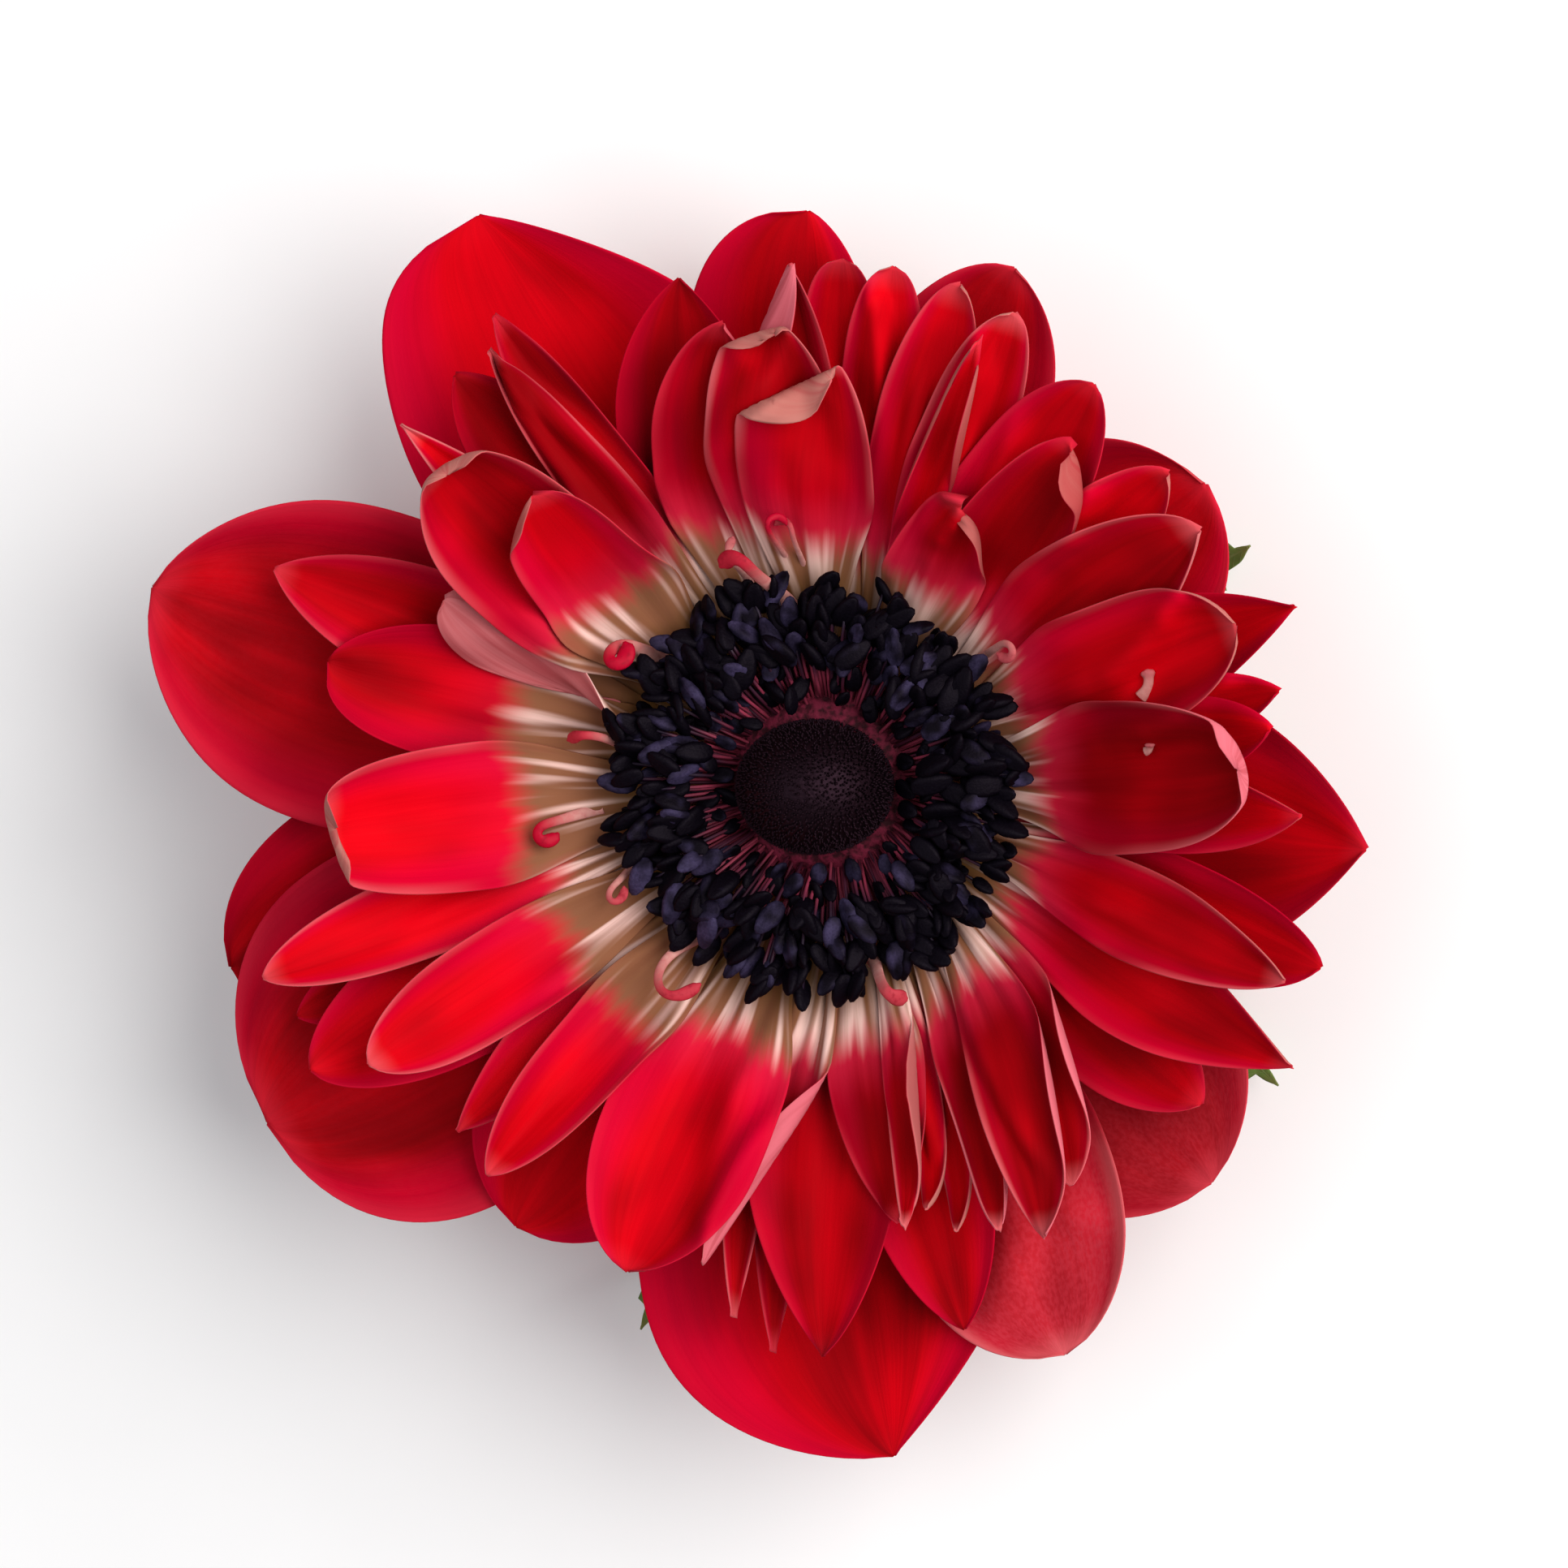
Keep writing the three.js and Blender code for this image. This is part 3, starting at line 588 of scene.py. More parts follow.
def lay(points, turned_over):
    """Lifts a petal off those below it, a turned-over part with what it covers, and adds it to the map."""
    for _ in range(2):
        short = height_map[cell_of(points)] + CLEARANCE - points[..., 2]
        lift = np.where((short > 0) & (short < DEEPEST), np.minimum(short, MOST_LIFT), 0)
        lift = lift * smooth((np.hypot(points[..., 0], points[..., 1]) - FREE_FROM) / FREE_OVER)
        for _ in range(10):
            lift = np.maximum(lift, ease(lift))
        for _ in range(4):
            lift = ease(lift)
        own = np.zeros((cells, cells))
        unturned = (lift * (turned_over < 0.2))[..., None]
        np.maximum.at(own, cell_of(denser(points)), denser(unturned)[..., 0])
        carried = turned_over * own[cell_of(points)]
        for _ in range(6):
            carried = np.maximum(carried, ease(carried))
        points[..., 2] += np.maximum(lift, carried * (turned_over > 0))
    fine = denser(points)
    np.maximum.at(height_map, cell_of(fine), fine[..., 2])
    return points


# %% [markdown]
# ## From sheet to solid petal
# A sheet with no thickness has no rim to catch the light. Each sheet is given a front and a back a third
# of a millimetre apart, thinner at the margin, closed by a rim. A Solidify modifier would make it as thick
# at the margin as in the middle. The numbers that the colours read are kept on the points: how far along
# and across the petal a point lies, and whether it is on the back.


# %% Closed sheet
def closed_sheet(points, thickness):
    """Points and faces of a closed petal: a front grid, a back grid and the rim between them."""
    rows, columns = points.shape[:2]
    normal = np.cross(np.gradient(points, axis=0), np.gradient(points, axis=1))
    normal = normal / np.maximum(np.linalg.norm(normal, axis=-1, keepdims=True), 1e-9)
    u = np.linspace(-1, 1, columns)[None, :, None]
    s = np.linspace(0, 1, rows)[:, None, None]
    thick = thickness * (1 - 0.75 * np.abs(u) ** 3) * (1 - 0.6 * s ** 10)
    front = (points + normal * thick / 2).reshape(-1, 3)
    rear = (points - normal * thick / 2).reshape(-1, 3)
    count = rows * columns
    grid = np.arange(count).reshape(rows, columns)
    a, b, c, d = grid[:-1, :-1], grid[1:, :-1], grid[1:, 1:], grid[:-1, 1:]
    loop = np.concatenate([grid[:-1, 0], grid[-1, :-1], grid[1:, -1][::-1], grid[0, 1:][::-1]])
    after = np.roll(loop, -1)
    faces = [np.stack([a, b, c, d], -1).reshape(-1, 4), np.stack([a, d, c, b], -1).reshape(-1, 4) + count,
             np.stack([after, loop, loop + count, after + count], -1)]
    return np.concatenate([front, rear]), np.concatenate(faces)


def two_faced(marks):
    """The same marks for the front and the back, with a mark of which is which."""
    both = {key: np.concatenate([values.ravel(), values.ravel()]) for key, values in marks.items()}
    count = marks["along"].size
    both["back"] = np.concatenate([np.zeros(count), np.ones(count)])
    return both


# %% Pieces
def take_place(piece, node):
    """The piece stands for one of the plain solids, which it hides, and hangs from the root body."""
    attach(piece, "root")
    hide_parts(node)
    print(piece.name, "has", len(piece.data.polygons), "faces")


def smooth_piece(name, points, faces, marks, material, node):
    """One object in the frame, from points in millimetres round the flower's axis."""
    mesh = bpy.data.meshes.new(name)
    mesh.from_pydata((points * MM + np.array(AXIS)).tolist(), [], faces)
    for key, values in marks.items():
        mesh.attributes.new(key, "FLOAT", "POINT").data.foreach_set("value", values.astype(np.float32))
    mesh.polygons.foreach_set("use_smooth", [True] * len(mesh.polygons))
    mesh.materials.append(material)
    mesh.validate()
    piece = bpy.data.objects.new(name, mesh)
    bpy.context.scene.collection.objects.link(piece)
    take_place(piece, node)


def piece_from(name, parts, material, node):
    """One object from several closed shapes, each with its points, faces and marks."""
    faces, start = [], 0
    for points, part_faces, _ in parts:
        faces.extend([[start + int(corner) for corner in face] for face in part_faces])
        start += len(points)
    marks = {key: np.concatenate([part[2][key] for part in parts]) for key in parts[0][2]}
    smooth_piece(name, np.concatenate([part[0] for part in parts]), faces, marks, material, node)


# %% [markdown]
# ## Petal colour
# The petals are a deep, warm red, and crimson towards the foot, with crimson margins that are partly painted
# sheen. The feet of the inner ones fade through pink into streaks of cream and brownish colour, with a
# painted shade of dark olive next to the stamens, and are painted browner where a petal faces away from the
# light. A petal's tone is partly its own depth of red and partly painted shade.
# Fine streaks run from foot to tip, the margins and tips are paler where the petal is thinnest and partly
# carry a painted highlight, and the back is a dusty pink. The paler tepals carry a dusty bloom that is partly
# painted sheen. A painted picture could hold all this for one petal. Here each is a layer over the one
# before, mixed in by a mask made of the petal's own marks and of noise stretched along it, so that sixty
# petals share one finish and no two look alike.

# %% What a petal's colours read
PETAL_MARKS = ("along", "across", "spread", "aside", "tone", "back", "pale", "brown")


def petal_reads(recipe):
    """The marks of a petal, and noise stretched along it at three widths and a fourth for its foot."""
    reads = SimpleNamespace(**{name: recipe.mark(name) for name in PETAL_MARKS})
    reads.edge = reads.across.math("ABSOLUTE")
    shift = reads.tone * 40.0
    clouds = {"streaks": (1.1, 0.06, 3.0), "veins": (3.0, 0.1, 2.0), "patches": (0.2, 0.12, 1.0)}
    for name, (over, along, detail) in clouds.items():
        stretched = recipe.place(reads.aside * over, reads.spread * along, shift)
        setattr(reads, name, recipe.cloud(stretched, 1.0, detail))
    reads.wide = recipe.cloud(recipe.place(reads.aside * 0.8, reads.spread * 0.05, shift + 7.0), 1.0, 1.0)
    speckled = recipe.place(reads.aside * 3.2, reads.spread * 2.2, shift)
    reads.speckles = recipe.cloud(speckled, 1.0, 3.0).step(0.35, 0.65)
    return reads


# %% Layers of a petal's front
def petal_body(recipe, reads):
    """Warm red, darker at low tone, which is partly painted shade, with crimson at the margins, partly
    painted sheen, and towards the foot.
    """
    # Painted shade: a low tone, set for petals that lie in shade, darkens the red.
    depth = (reads.streaks * 0.3 + reads.patches * 0.8 + reads.tone * 0.8 - 0.5).step(0.05, 0.85)
    red = recipe.blend(depth, colour(0.22, 0.0, 0.002), colour(0.7, 0.0, 0.006))
    # Painted sheen: the crimson at the margins stands partly for the velvet's grazing sheen.
    inward = (reads.spread + reads.patches * 10.0).step(36.0, 18.0)
    crimson = (reads.edge.step(0.25, 1.0) + inward * 0.7 + reads.patches * 0.6 - 0.4).step(0.0, 1.0)
    red = recipe.blend(crimson * (reads.tone.step(0.2, 0.6) * 0.4 + 0.25), red, colour(0.56, 0.0, 0.034))
    return recipe.blend(reads.veins.step(0.5, 0.75) * 0.08, red, colour(0.2, 0.0, 0.003))


def petal_bloom_and_sheen(recipe, reads, red):
    """The dusty, speckled bloom of the paler tepals, which is partly painted sheen."""
    # Painted sheen: the pinkish bloom over the outer half of the paler tepals stands partly for the velvet's
    # sheen, partly for dust.
    dusted_and_sheened = reads.pale.step(0.4, 1.0) * (reads.along + reads.patches * 1.2 - 0.4).step(0.4, 1.3)
    dust_and_sheen = dusted_and_sheened * (0.35 + reads.streaks * 0.5 + reads.speckles * 0.45)
    return recipe.blend(dust_and_sheen, red, colour(0.54, 0.032, 0.052))


def petal_foot(recipe, reads, red, start, end):
    """Fades through pink into the cream and brownish streaks of the foot, from end to start, with painted
    shade: less pink, darker stripes and a dark olive next to the stamens.
    """
    ragged = reads.spread - reads.streaks * 3.0 - reads.edge * reads.edge * 1.6 + reads.tone * 2.0 + 1.2
    # Painted shade: the pink is weaker where a petal faces away from the light.
    pink = ragged.step(end + 3.5, start + 0.5) * (0.7 - reads.brown * 0.35)
    red = recipe.blend(pink, red, colour(0.6, 0.02, 0.06))
    # Painted shade: the dark stripes grow where a petal faces away from the light.
    striped = (reads.wide + reads.brown * 0.06).step(0.37, 0.57)
    foot = recipe.blend(striped, colour(0.8, 0.52, 0.46), colour(0.23, 0.09, 0.045))
    foot = recipe.blend(reads.veins.step(0.5, 0.7) * 0.25, foot, colour(0.24, 0.1, 0.04))
    red = recipe.blend(ragged.step(end, start), red, foot)
    # Painted shade: a dark olive next to the stamen ring, where the anthers shade the feet, wider where a
    # petal faces away from the light.
    painted_olive_shade = (reads.spread + reads.wide * 3.0 + reads.brown * 3.0).step(18.4, 14.4)
    return recipe.blend(painted_olive_shade * 0.75, red, colour(0.17, 0.085, 0.02))


def petal_rim_and_highlight(recipe, reads, red):
    """Pales the margin and the tip, partly as a painted highlight where the thin margin catches the light."""
    # Painted highlight: the pale rim and tip stand partly for light caught by the thin margin, partly for its
    # paler colour.
    rim = reads.edge.step(0.8, 1.0) * (reads.along + reads.patches * 0.9 - 0.45).step(0.45, 0.95)
    tip = (reads.along + reads.patches * 0.06).step(0.97, 1.04)
    rosy = recipe.blend(reads.pale.step(0.5, 1.0), colour(0.66, 0.03, 0.06), colour(0.66, 0.15, 0.16))
    return recipe.blend(rim.math("MAXIMUM", tip) * (reads.pale * 0.9 - 0.05), red, rosy)


# %% A petal's back
def petal_back(recipe, reads):
    """Dusty pink, or a brownish pink on the warmer petals, with crimson streaks."""
    light = recipe.blend(reads.tone.step(0.28, 0.38), colour(0.68, 0.15, 0.19), colour(0.44, 0.17, 0.14))
    dusty = recipe.blend(reads.streaks.step(0.35, 0.65) * 0.6, light, colour(0.36, 0.04, 0.05))
    dusty = recipe.blend(reads.edge.step(0.3, 0.95) * 0.5, dusty, light)
    return recipe.blend((reads.pale + reads.along * 0.6).step(0.85, 1.3), colour(0.36, 0.0, 0.014), dusty)


# %% Petal finishes
def petal_recipe(foot_start, foot_end, warmth, with_bloom_and_sheen):
    """The finish of one kind of petal; warmth is how much of the front's red its back keeps."""
    def build(recipe):
        reads = petal_reads(recipe)
        red = petal_body(recipe, reads)
        if with_bloom_and_sheen:
            red = petal_bloom_and_sheen(recipe, reads, red)
        red = petal_foot(recipe, reads, red, foot_start, foot_end)
        red = petal_rim_and_highlight(recipe, reads, red)
        surface = recipe.blend(reads.back.step(0.6, 1.0) * (1.0 - warmth), red, petal_back(recipe, reads))
        relief = recipe.bump(reads.streaks * 0.6 + reads.veins * 0.4, 0.15, 0.0004)
        return {"Base Color": surface, "Roughness": 0.55 + reads.veins * 0.2, "Normal": relief}

    return build


VELVET = {
    "Specular_IOR_Level": 0.03,
    "Sheen_Weight": 0.015,
    "Sheen_Roughness": 0.35,
    "Sheen_Tint": colour(1.0, 0.4, 0.5),
}
tepal_red = finish("tepal_red", petal_recipe(14.0, 17.5, 0.55, True), **VELVET)
petal_red = finish("petal_red", petal_recipe(16.2, 19.6, 0.1, False), **VELVET)

# %% Lay the petals
PETAL_THICKNESS = 0.32


def laid(petals, root_height, first_seed):
    """Closed petals, the flattest laid first."""
    parts = []
    for number, petal in sorted(enumerate(petals), key=lambda pair: pair[1].rise):
        points, marks, turned_over = petal_sheet(petal, root_height, first_seed + number)
        parts.append((*closed_sheet(lay(points, turned_over), PETAL_THICKNESS), two_faced(marks)))
    return parts


outer_parts = laid(OUTER_TEPALS, OUTER_ROOT_HEIGHT, 100)
piece_from("tepals_outer", outer_parts, tepal_red, "outer_tepals")
inner_parts = laid(INNER_PETALS, INNER_ROOT_HEIGHT, 200)
third = len(inner_parts) // 3 + 1
for number, name in enumerate(("petals_low", "petals_middle", "petals_high")):
    chosen = inner_parts[number * third:(number + 1) * third]
    piece_from(name, chosen, petal_red, "inner_petals")

# %% [markdown]
# ## Growing with Geometry Nodes
# The middle of the flower is hundreds of small like shapes, each a little different. Geometry Nodes make
# such crowds: a tree sets out points by a rule, puts a shape on each one and turns and scales it. The
# helper below gives a tree its named inputs, runs it once, and keeps the plain mesh that comes out.


# %% Running a tree
def grown(name, build, sizes, seed, material, node, slot):
    """A piece whose plain mesh comes from one Geometry Nodes tree, with named sizes as its inputs."""
    tree = bpy.data.node_groups.new(name, "GeometryNodeTree")
    tree.interface.new_socket("Mesh", in_out="OUTPUT", socket_type="NodeSocketGeometry")
    knobs = {}
    for label in ("Seed", *sizes):
        kind = "NodeSocketInt" if label in ("Seed", "Count") else "NodeSocketFloat"
        knobs[label] = tree.interface.new_socket(label, in_out="INPUT", socket_type=kind)
    recipe = Recipe(tree)
    entry = tree.nodes.new("NodeGroupInput")
    shape = build(recipe, {label: Value(recipe, entry.outputs[label]) for label in knobs})
    real = recipe.node("GeometryNodeRealizeInstances", None, {"Geometry": shape})
    dressed = recipe.node("GeometryNodeSetMaterial", None, {"Geometry": real, "Material": material})
    leave = tree.nodes.new("NodeGroupOutput")
    tree.links.new(dressed.socket, leave.inputs["Mesh"])
    seedling = bpy.data.objects.new(name, bpy.data.meshes.new(name + "_start"))
    bpy.context.scene.collection.objects.link(seedling)
    modifier = seedling.modifiers.new("grow", "NODES")
    modifier.node_group = tree
    for label, value in {"Seed": seed, **sizes}.items():
        modifier[knobs[label].identifier] = value
    evaluated = seedling.evaluated_get(bpy.context.evaluated_depsgraph_get())
    mesh = bpy.data.meshes.new_from_object(evaluated)
    seedling.modifiers.remove(modifier)
    seedling.data = mesh
    mesh.transform(Matrix.Translation(AXIS) @ Matrix.Scale(MM, 4))
    take_place(seedling, node)


# %% Helpers for trees
GOLDEN_ANGLE = 2.399963


def random_between(recipe, low, high, seed):
    """A random number for each point, from its index."""
    ends = {2: low, 3: high, "Seed": seed}
    return recipe.node("FunctionNodeRandomValue", {"data_type": "FLOAT"}, ends, 1)


def golden_turn(recipe, size, spread, seed):
    """Each point's share of the count, and its bearing by the golden angle, a little disturbed."""
    index = recipe.node("GeometryNodeInputIndex")
    turn = index * GOLDEN_ANGLE + random_between(recipe, -spread, spread, seed)
    return (index + 0.5) / size["Count"], turn


def vector(recipe, operation, *given, output=0):
    return recipe.node("ShaderNodeVectorMath", {"operation": operation}, dict(enumerate(given)), output)


def pointing(recipe, way):
    """The turn that brings a shape's own upward direction to this one."""
    return recipe.node("FunctionNodeAlignRotationToVector", {"axis": "Z"}, {"Vector": way})


def keep_number(recipe, shape, name, value, domain):
    ends = {"Geometry": shape, "Name": name, "Value": value}
    return recipe.node("GeometryNodeStoreNamedAttribute", {"data_type": "FLOAT", "domain": domain}, ends)


def softened(recipe, shape):
    return recipe.node("GeometryNodeSetShadeSmooth", None, {"Geometry": shape})


def crowd(recipe, size, spot, shape, facing, seed, scale=(1, 1, 1)):
    """A copy of the shape on each point, with a random tone of its own that its colour reads."""
    points = recipe.node("GeometryNodePoints", None, {"Count": size["Count"], "Position": spot})
    ends = {"Points": points, "Instance": shape, "Rotation": facing, "Scale": scale}
    copies = recipe.node("GeometryNodeInstanceOnPoints", None, ends)
    return keep_number(recipe, copies, "tone", random_between(recipe, 0.0, 1.0, seed), "INSTANCE")


# %% [markdown]
# ## Stamens
# Some five hundred stamens stand round the dome in a tall and a short ring: thin plum-coloured filaments
# that lean outward, each with a blue-black anther of two long pollen sacs. The golden angle, which the real
# flower uses as well, sets them out evenly without rows. A filament is a thin rod from its root to its
# anther, bowed a little, so both trees ask the same helper for the two ends. Placed by hand they would
# take a list of hundreds of rows; by rule they take a few numbers for each ring and a seed.


# %% Stamen places
def stamen_place(recipe, size):
    """Where an anther sits, where its filament starts, and its bearing."""
    seed = size["Seed"]
    share, turn = golden_turn(recipe, size, 0.12, seed)
    inner, outer = size["Inner radius"], size["Outer radius"]
    radius = (inner * inner + share * (outer * outer - inner * inner)).math("SQRT")
    radius = radius + random_between(recipe, -0.45, 0.45, seed + 1)
    height = size["Height"] - size["Fall"] * share + random_between(recipe, -0.7, 0.5, seed + 2)
    east, north = turn.math("COSINE"), turn.math("SINE")
    start = size["Root radius"] + random_between(recipe, -0.5, 0.5, seed + 3)
    anther = recipe.place(radius * east, radius * north, height)
    return anther, recipe.place(start * east, start * north, size["Root height"]), turn


# %% Anther tree
def anther_tree(recipe, size):
    """Each anther is a ball drawn long, grooved along the middle and tapered."""
    anther, _, turn = stamen_place(recipe, size)
    seed = size["Seed"]
    ball = recipe.node("GeometryNodeMeshUVSphere", None, {"Segments": 12, "Rings": 6, "Radius": 1.0})
    here = recipe.node("GeometryNodeInputPosition")
    x, y, z = (recipe.node("ShaderNodeSeparateXYZ", None, {0: here}, axis) for axis in "XYZ")
    length, width = size["Length"] * 0.5, size["Width"] * 0.5
    groove = x.math("ABSOLUTE").step(0.5, 0.0) * 0.5
    taper = 1 - z * 0.2
    spot = recipe.place(z * length, x * width * taper, y * width * (1 - groove) * 0.62)
    shaped = recipe.node("GeometryNodeSetPosition", None, {"Geometry": ball, "Position": spot})
    spin = turn + random_between(recipe, -0.8, 0.8, seed + 4)
    pitch = random_between(recipe, -0.9, 0.5, seed + 5)
    roll = random_between(recipe, -1.0, 1.0, seed + 6)
    facing = recipe.node("FunctionNodeEulerToRotation", None, {"Euler": recipe.place(roll, pitch, spin)})
    growth = random_between(recipe, 0.8, 1.15, seed + 7)
    scale = recipe.place(growth, growth, growth)
    return crowd(recipe, size, anther, softened(recipe, shaped), facing, seed + 8, scale)


# %% Filament tree
def filament_tree(recipe, size):
    """Each filament is a rod one unit long, stretched from its root to its anther and then bowed."""
    anther, root, _ = stamen_place(recipe, size)
    way = vector(recipe, "SUBTRACT", anther, root)
    reach = vector(recipe, "LENGTH", way, output="Value")
    ends = {"Vertices": 5, "Side Segments": 4, "Radius": size["Width"] * 0.5, "Depth": 1.0}
    rod = recipe.node("GeometryNodeMeshCylinder", {"fill_type": "NGON"}, ends)
    raised = recipe.node("GeometryNodeTransform", None, {"Geometry": rod, "Translation": (0, 0, 0.5)})
    here = recipe.node("GeometryNodeInputPosition")
    rise = recipe.node("ShaderNodeSeparateXYZ", None, {0: here}, "Z")
    marked = softened(recipe, keep_number(recipe, raised, "rise", rise, "POINT"))
    scale = recipe.place(1.0, 1.0, reach)
    rods = crowd(recipe, size, root, marked, pointing(recipe, way), size["Seed"] + 8, scale)
    real = recipe.node("GeometryNodeRealizeInstances", None, {"Geometry": rods})
    share = recipe.node("GeometryNodeInputNamedAttribute", {"data_type": "FLOAT"}, {"Name": "rise"})
    bow = recipe.place(0.0, 0.0, share * (1 - share) * size["Bow"])
    return recipe.node("GeometryNodeSetPosition", None, {"Geometry": real, "Offset": bow})


# %% Stamen finishes
def anther_recipe(recipe):
    grain = recipe.cloud(recipe.spot(), 5200.0, 3.0)
    patches = recipe.cloud(recipe.spot(), 700.0, 1.0)
    dark = recipe.blend(grain, colour(0.0008, 0.0004, 0.001), colour(0.0028, 0.0018, 0.0045))
    # Painted highlight: the slate blue is partly the anthers' own colour and partly stands for the bluish
    # highlights of lit anthers.
    slate_and_highlight = recipe.blend(grain, colour(0.014, 0.01, 0.03), colour(0.072, 0.056, 0.128))
    share = (recipe.mark("tone") * 0.9 + patches * 0.9 - 0.6).step(0.48, 1.0)
    return {"Base Color": recipe.blend(share, dark, slate_and_highlight), "Roughness": 0.42 + grain * 0.2,
            "Normal": recipe.bump(grain, 0.4, 0.0001)}


def filament_recipe(recipe):
    tone, rise = recipe.mark("tone"), recipe.mark("rise")
    plum = recipe.blend(tone.step(0.2, 0.9), colour(0.3, 0.035, 0.07), colour(0.05, 0.004, 0.016))
    return {"Base Color": recipe.blend(rise.step(0.3, 0.9), plum, colour(0.012, 0.004, 0.016)),
            "Roughness": 0.45 + tone * 0.2}


FAINT_VIOLET = colour(0.9, 0.75, 0.95)
anther_black = finish("anther_black", anther_recipe, Specular_IOR_Level=0.07, Specular_Tint=FAINT_VIOLET)
filament_plum = finish("filament_plum", filament_recipe, Specular_IOR_Level=0.25)

# %% Grow the stamens
STAMENS = {
    "Count": 320, "Inner radius": 8.6, "Outer radius": 14.1, "Height": 18.0, "Fall": 0.6,
    "Root radius": 5.6, "Root height": 14.0,
}
SHORT_STAMENS = {
    "Count": 210, "Inner radius": 6.1, "Outer radius": 13.2, "Height": 16.4, "Fall": 0.4,
    "Root radius": 5.2, "Root height": 14.0,
}
CROWDS = [
    ("anthers", anther_tree, {**STAMENS, "Length": 2.8, "Width": 1.5}, 7, anther_black),
    ("filaments", filament_tree, {**STAMENS, "Width": 0.24, "Bow": 2.4}, 7, filament_plum),
    ("anthers_short", anther_tree, {**SHORT_STAMENS, "Length": 2.0, "Width": 1.15}, 19, anther_black),
    ("filaments_short", filament_tree, {**SHORT_STAMENS, "Width": 0.22, "Bow": 1.2}, 19, filament_plum),
]
for plan in CROWDS:
    grown(*plan, "stamens", "stamen")

# %% [markdown]
# ## Pistil
# The dome in the middle is a dense head of thousands of tiny black styles. It is a little wider than deep,
# seen from above. Its body is one turned shape, and the styles are small cones that Geometry Nodes set
# on it in a golden spiral, each pointing straight out. Bump alone would leave the dome's edge smooth.

# %% Style tree
DOME_HALF_WIDTH = 5.25
DOME_HALF_DEPTH = 4.45
DOME_BASE = 16.4
DOME_TOP = 22.0
STYLE = {"Vertices": 5, "Radius Top": 0.03, "Radius Bottom": 0.09, "Depth": 0.2}


def style_tree(recipe, size):
    """Small cones all over a dome, a little past its widest ring."""
    seed = size["Seed"]
    share, turn = golden_turn(recipe, size, 0.06, seed + 7)
    level = 1 - share * 1.25 + random_between(recipe, -0.012, 0.012, seed + 8)
    ring = (1 - level * level).math("MAXIMUM", 0.0).math("SQRT")
    east, north = turn.math("COSINE") * ring, turn.math("SINE") * ring
    wide, deep = size["Half width"], size["Half depth"]
    half_height = size["Top"] - size["Base"]
    spot = recipe.place(wide * east, deep * north, size["Base"] + half_height * level)
    cone = softened(recipe, recipe.node("GeometryNodeMeshCone", {"fill_type": "NGON"}, STYLE))
    out = recipe.place(east / wide, north / deep, level / half_height)
    jitter = recipe.place(*(random_between(recipe, -0.05, 0.05, seed + step) for step in range(3)))
    facing = pointing(recipe, vector(recipe, "ADD", out, jitter))
    return crowd(recipe, size, spot, cone, facing, seed + 5)


# %% Pistil finish and styles
def pistil_recipe(recipe):
    grain = recipe.cloud(recipe.spot(), 2600.0, 2.0)
    dark = recipe.blend(grain, colour(0.0008, 0.0002, 0.0004), colour(0.003, 0.0012, 0.002))
    return {"Base Color": recipe.blend(recipe.mark("tone") * 0.5, dark, colour(0.008, 0.003, 0.0055)),
            "Roughness": 0.5 + grain * 0.12, "Normal": recipe.bump(grain, 0.5, 0.0002)}


SOFT_BLACK = {
    "Specular_IOR_Level": 0.26,
    "Specular_Tint": colour(0.8, 0.4, 0.62),
    "Sheen_Weight": 0.01,
    "Sheen_Roughness": 0.5,
    "Sheen_Tint": colour(0.6, 0.35, 0.42),
}
pistil_black = finish("pistil_black", pistil_recipe, **SOFT_BLACK)
DOME = {"Count": 3000, "Half width": DOME_HALF_WIDTH, "Half depth": DOME_HALF_DEPTH, "Base": DOME_BASE,
        "Top": DOME_TOP}
grown("styles", style_tree, DOME, 3, pistil_black, "pistil", "pistil")


# %% Turned shapes
SIDES = 64


def tube_faces(rings, sides):
    """Faces of a tube of rings, closed at each end by one point, the first and the last of all."""
    grid = 1 + np.arange(rings * sides).reshape(rings, sides)
    after = np.roll(grid, -1, axis=1)
    faces = np.stack([grid[:-1], after[:-1], after[1:], grid[1:]], -1).reshape(-1, 4).tolist()
    last = rings * sides + 1
    for i in range(sides):
        faces.append((0, int(after[0, i]), int(grid[0, i])))
        faces.append((last, int(grid[-1, i]), int(after[-1, i])))
    return faces


def turned_piece(name, profile, material, node, half_width=1.0, half_depth=1.0):
    """A piece whose profile, a list of radius and height, is turned about the axis and ends on it."""
    turn = np.linspace(0, 2 * np.pi, SIDES, endpoint=False)
    rings = [np.stack([r * half_width * np.cos(turn), r * half_depth * np.sin(turn), np.full(SIDES, z)], -1)
             for r, z in profile[1:-1]]
    points = np.concatenate([[[0, 0, profile[0][1]]], *rings, [[0, 0, profile[-1][1]]]])
    smooth_piece(name, points, tube_faces(len(rings), SIDES), {}, material, node)


# %% Dome under the styles
DOME_FOOT = 14.2
DOME_INSET = 0.1
STEP_UP = 0.01
angles = np.radians(np.linspace(-38, 90, 22))
arc = [(math.cos(a), DOME_BASE + (DOME_TOP - DOME_BASE) * math.sin(a)) for a in angles[:-1]]
dome_profile = [(0, DOME_FOOT), (0.7, DOME_FOOT), *arc, (0, DOME_TOP)]
dome_profile = [(r, max(z, DOME_FOOT + STEP_UP * place)) for place, (r, z) in enumerate(dome_profile)]
turned_piece("dome", dome_profile, pistil_black, "pistil",
             DOME_HALF_WIDTH - DOME_INSET, DOME_HALF_DEPTH - DOME_INSET)

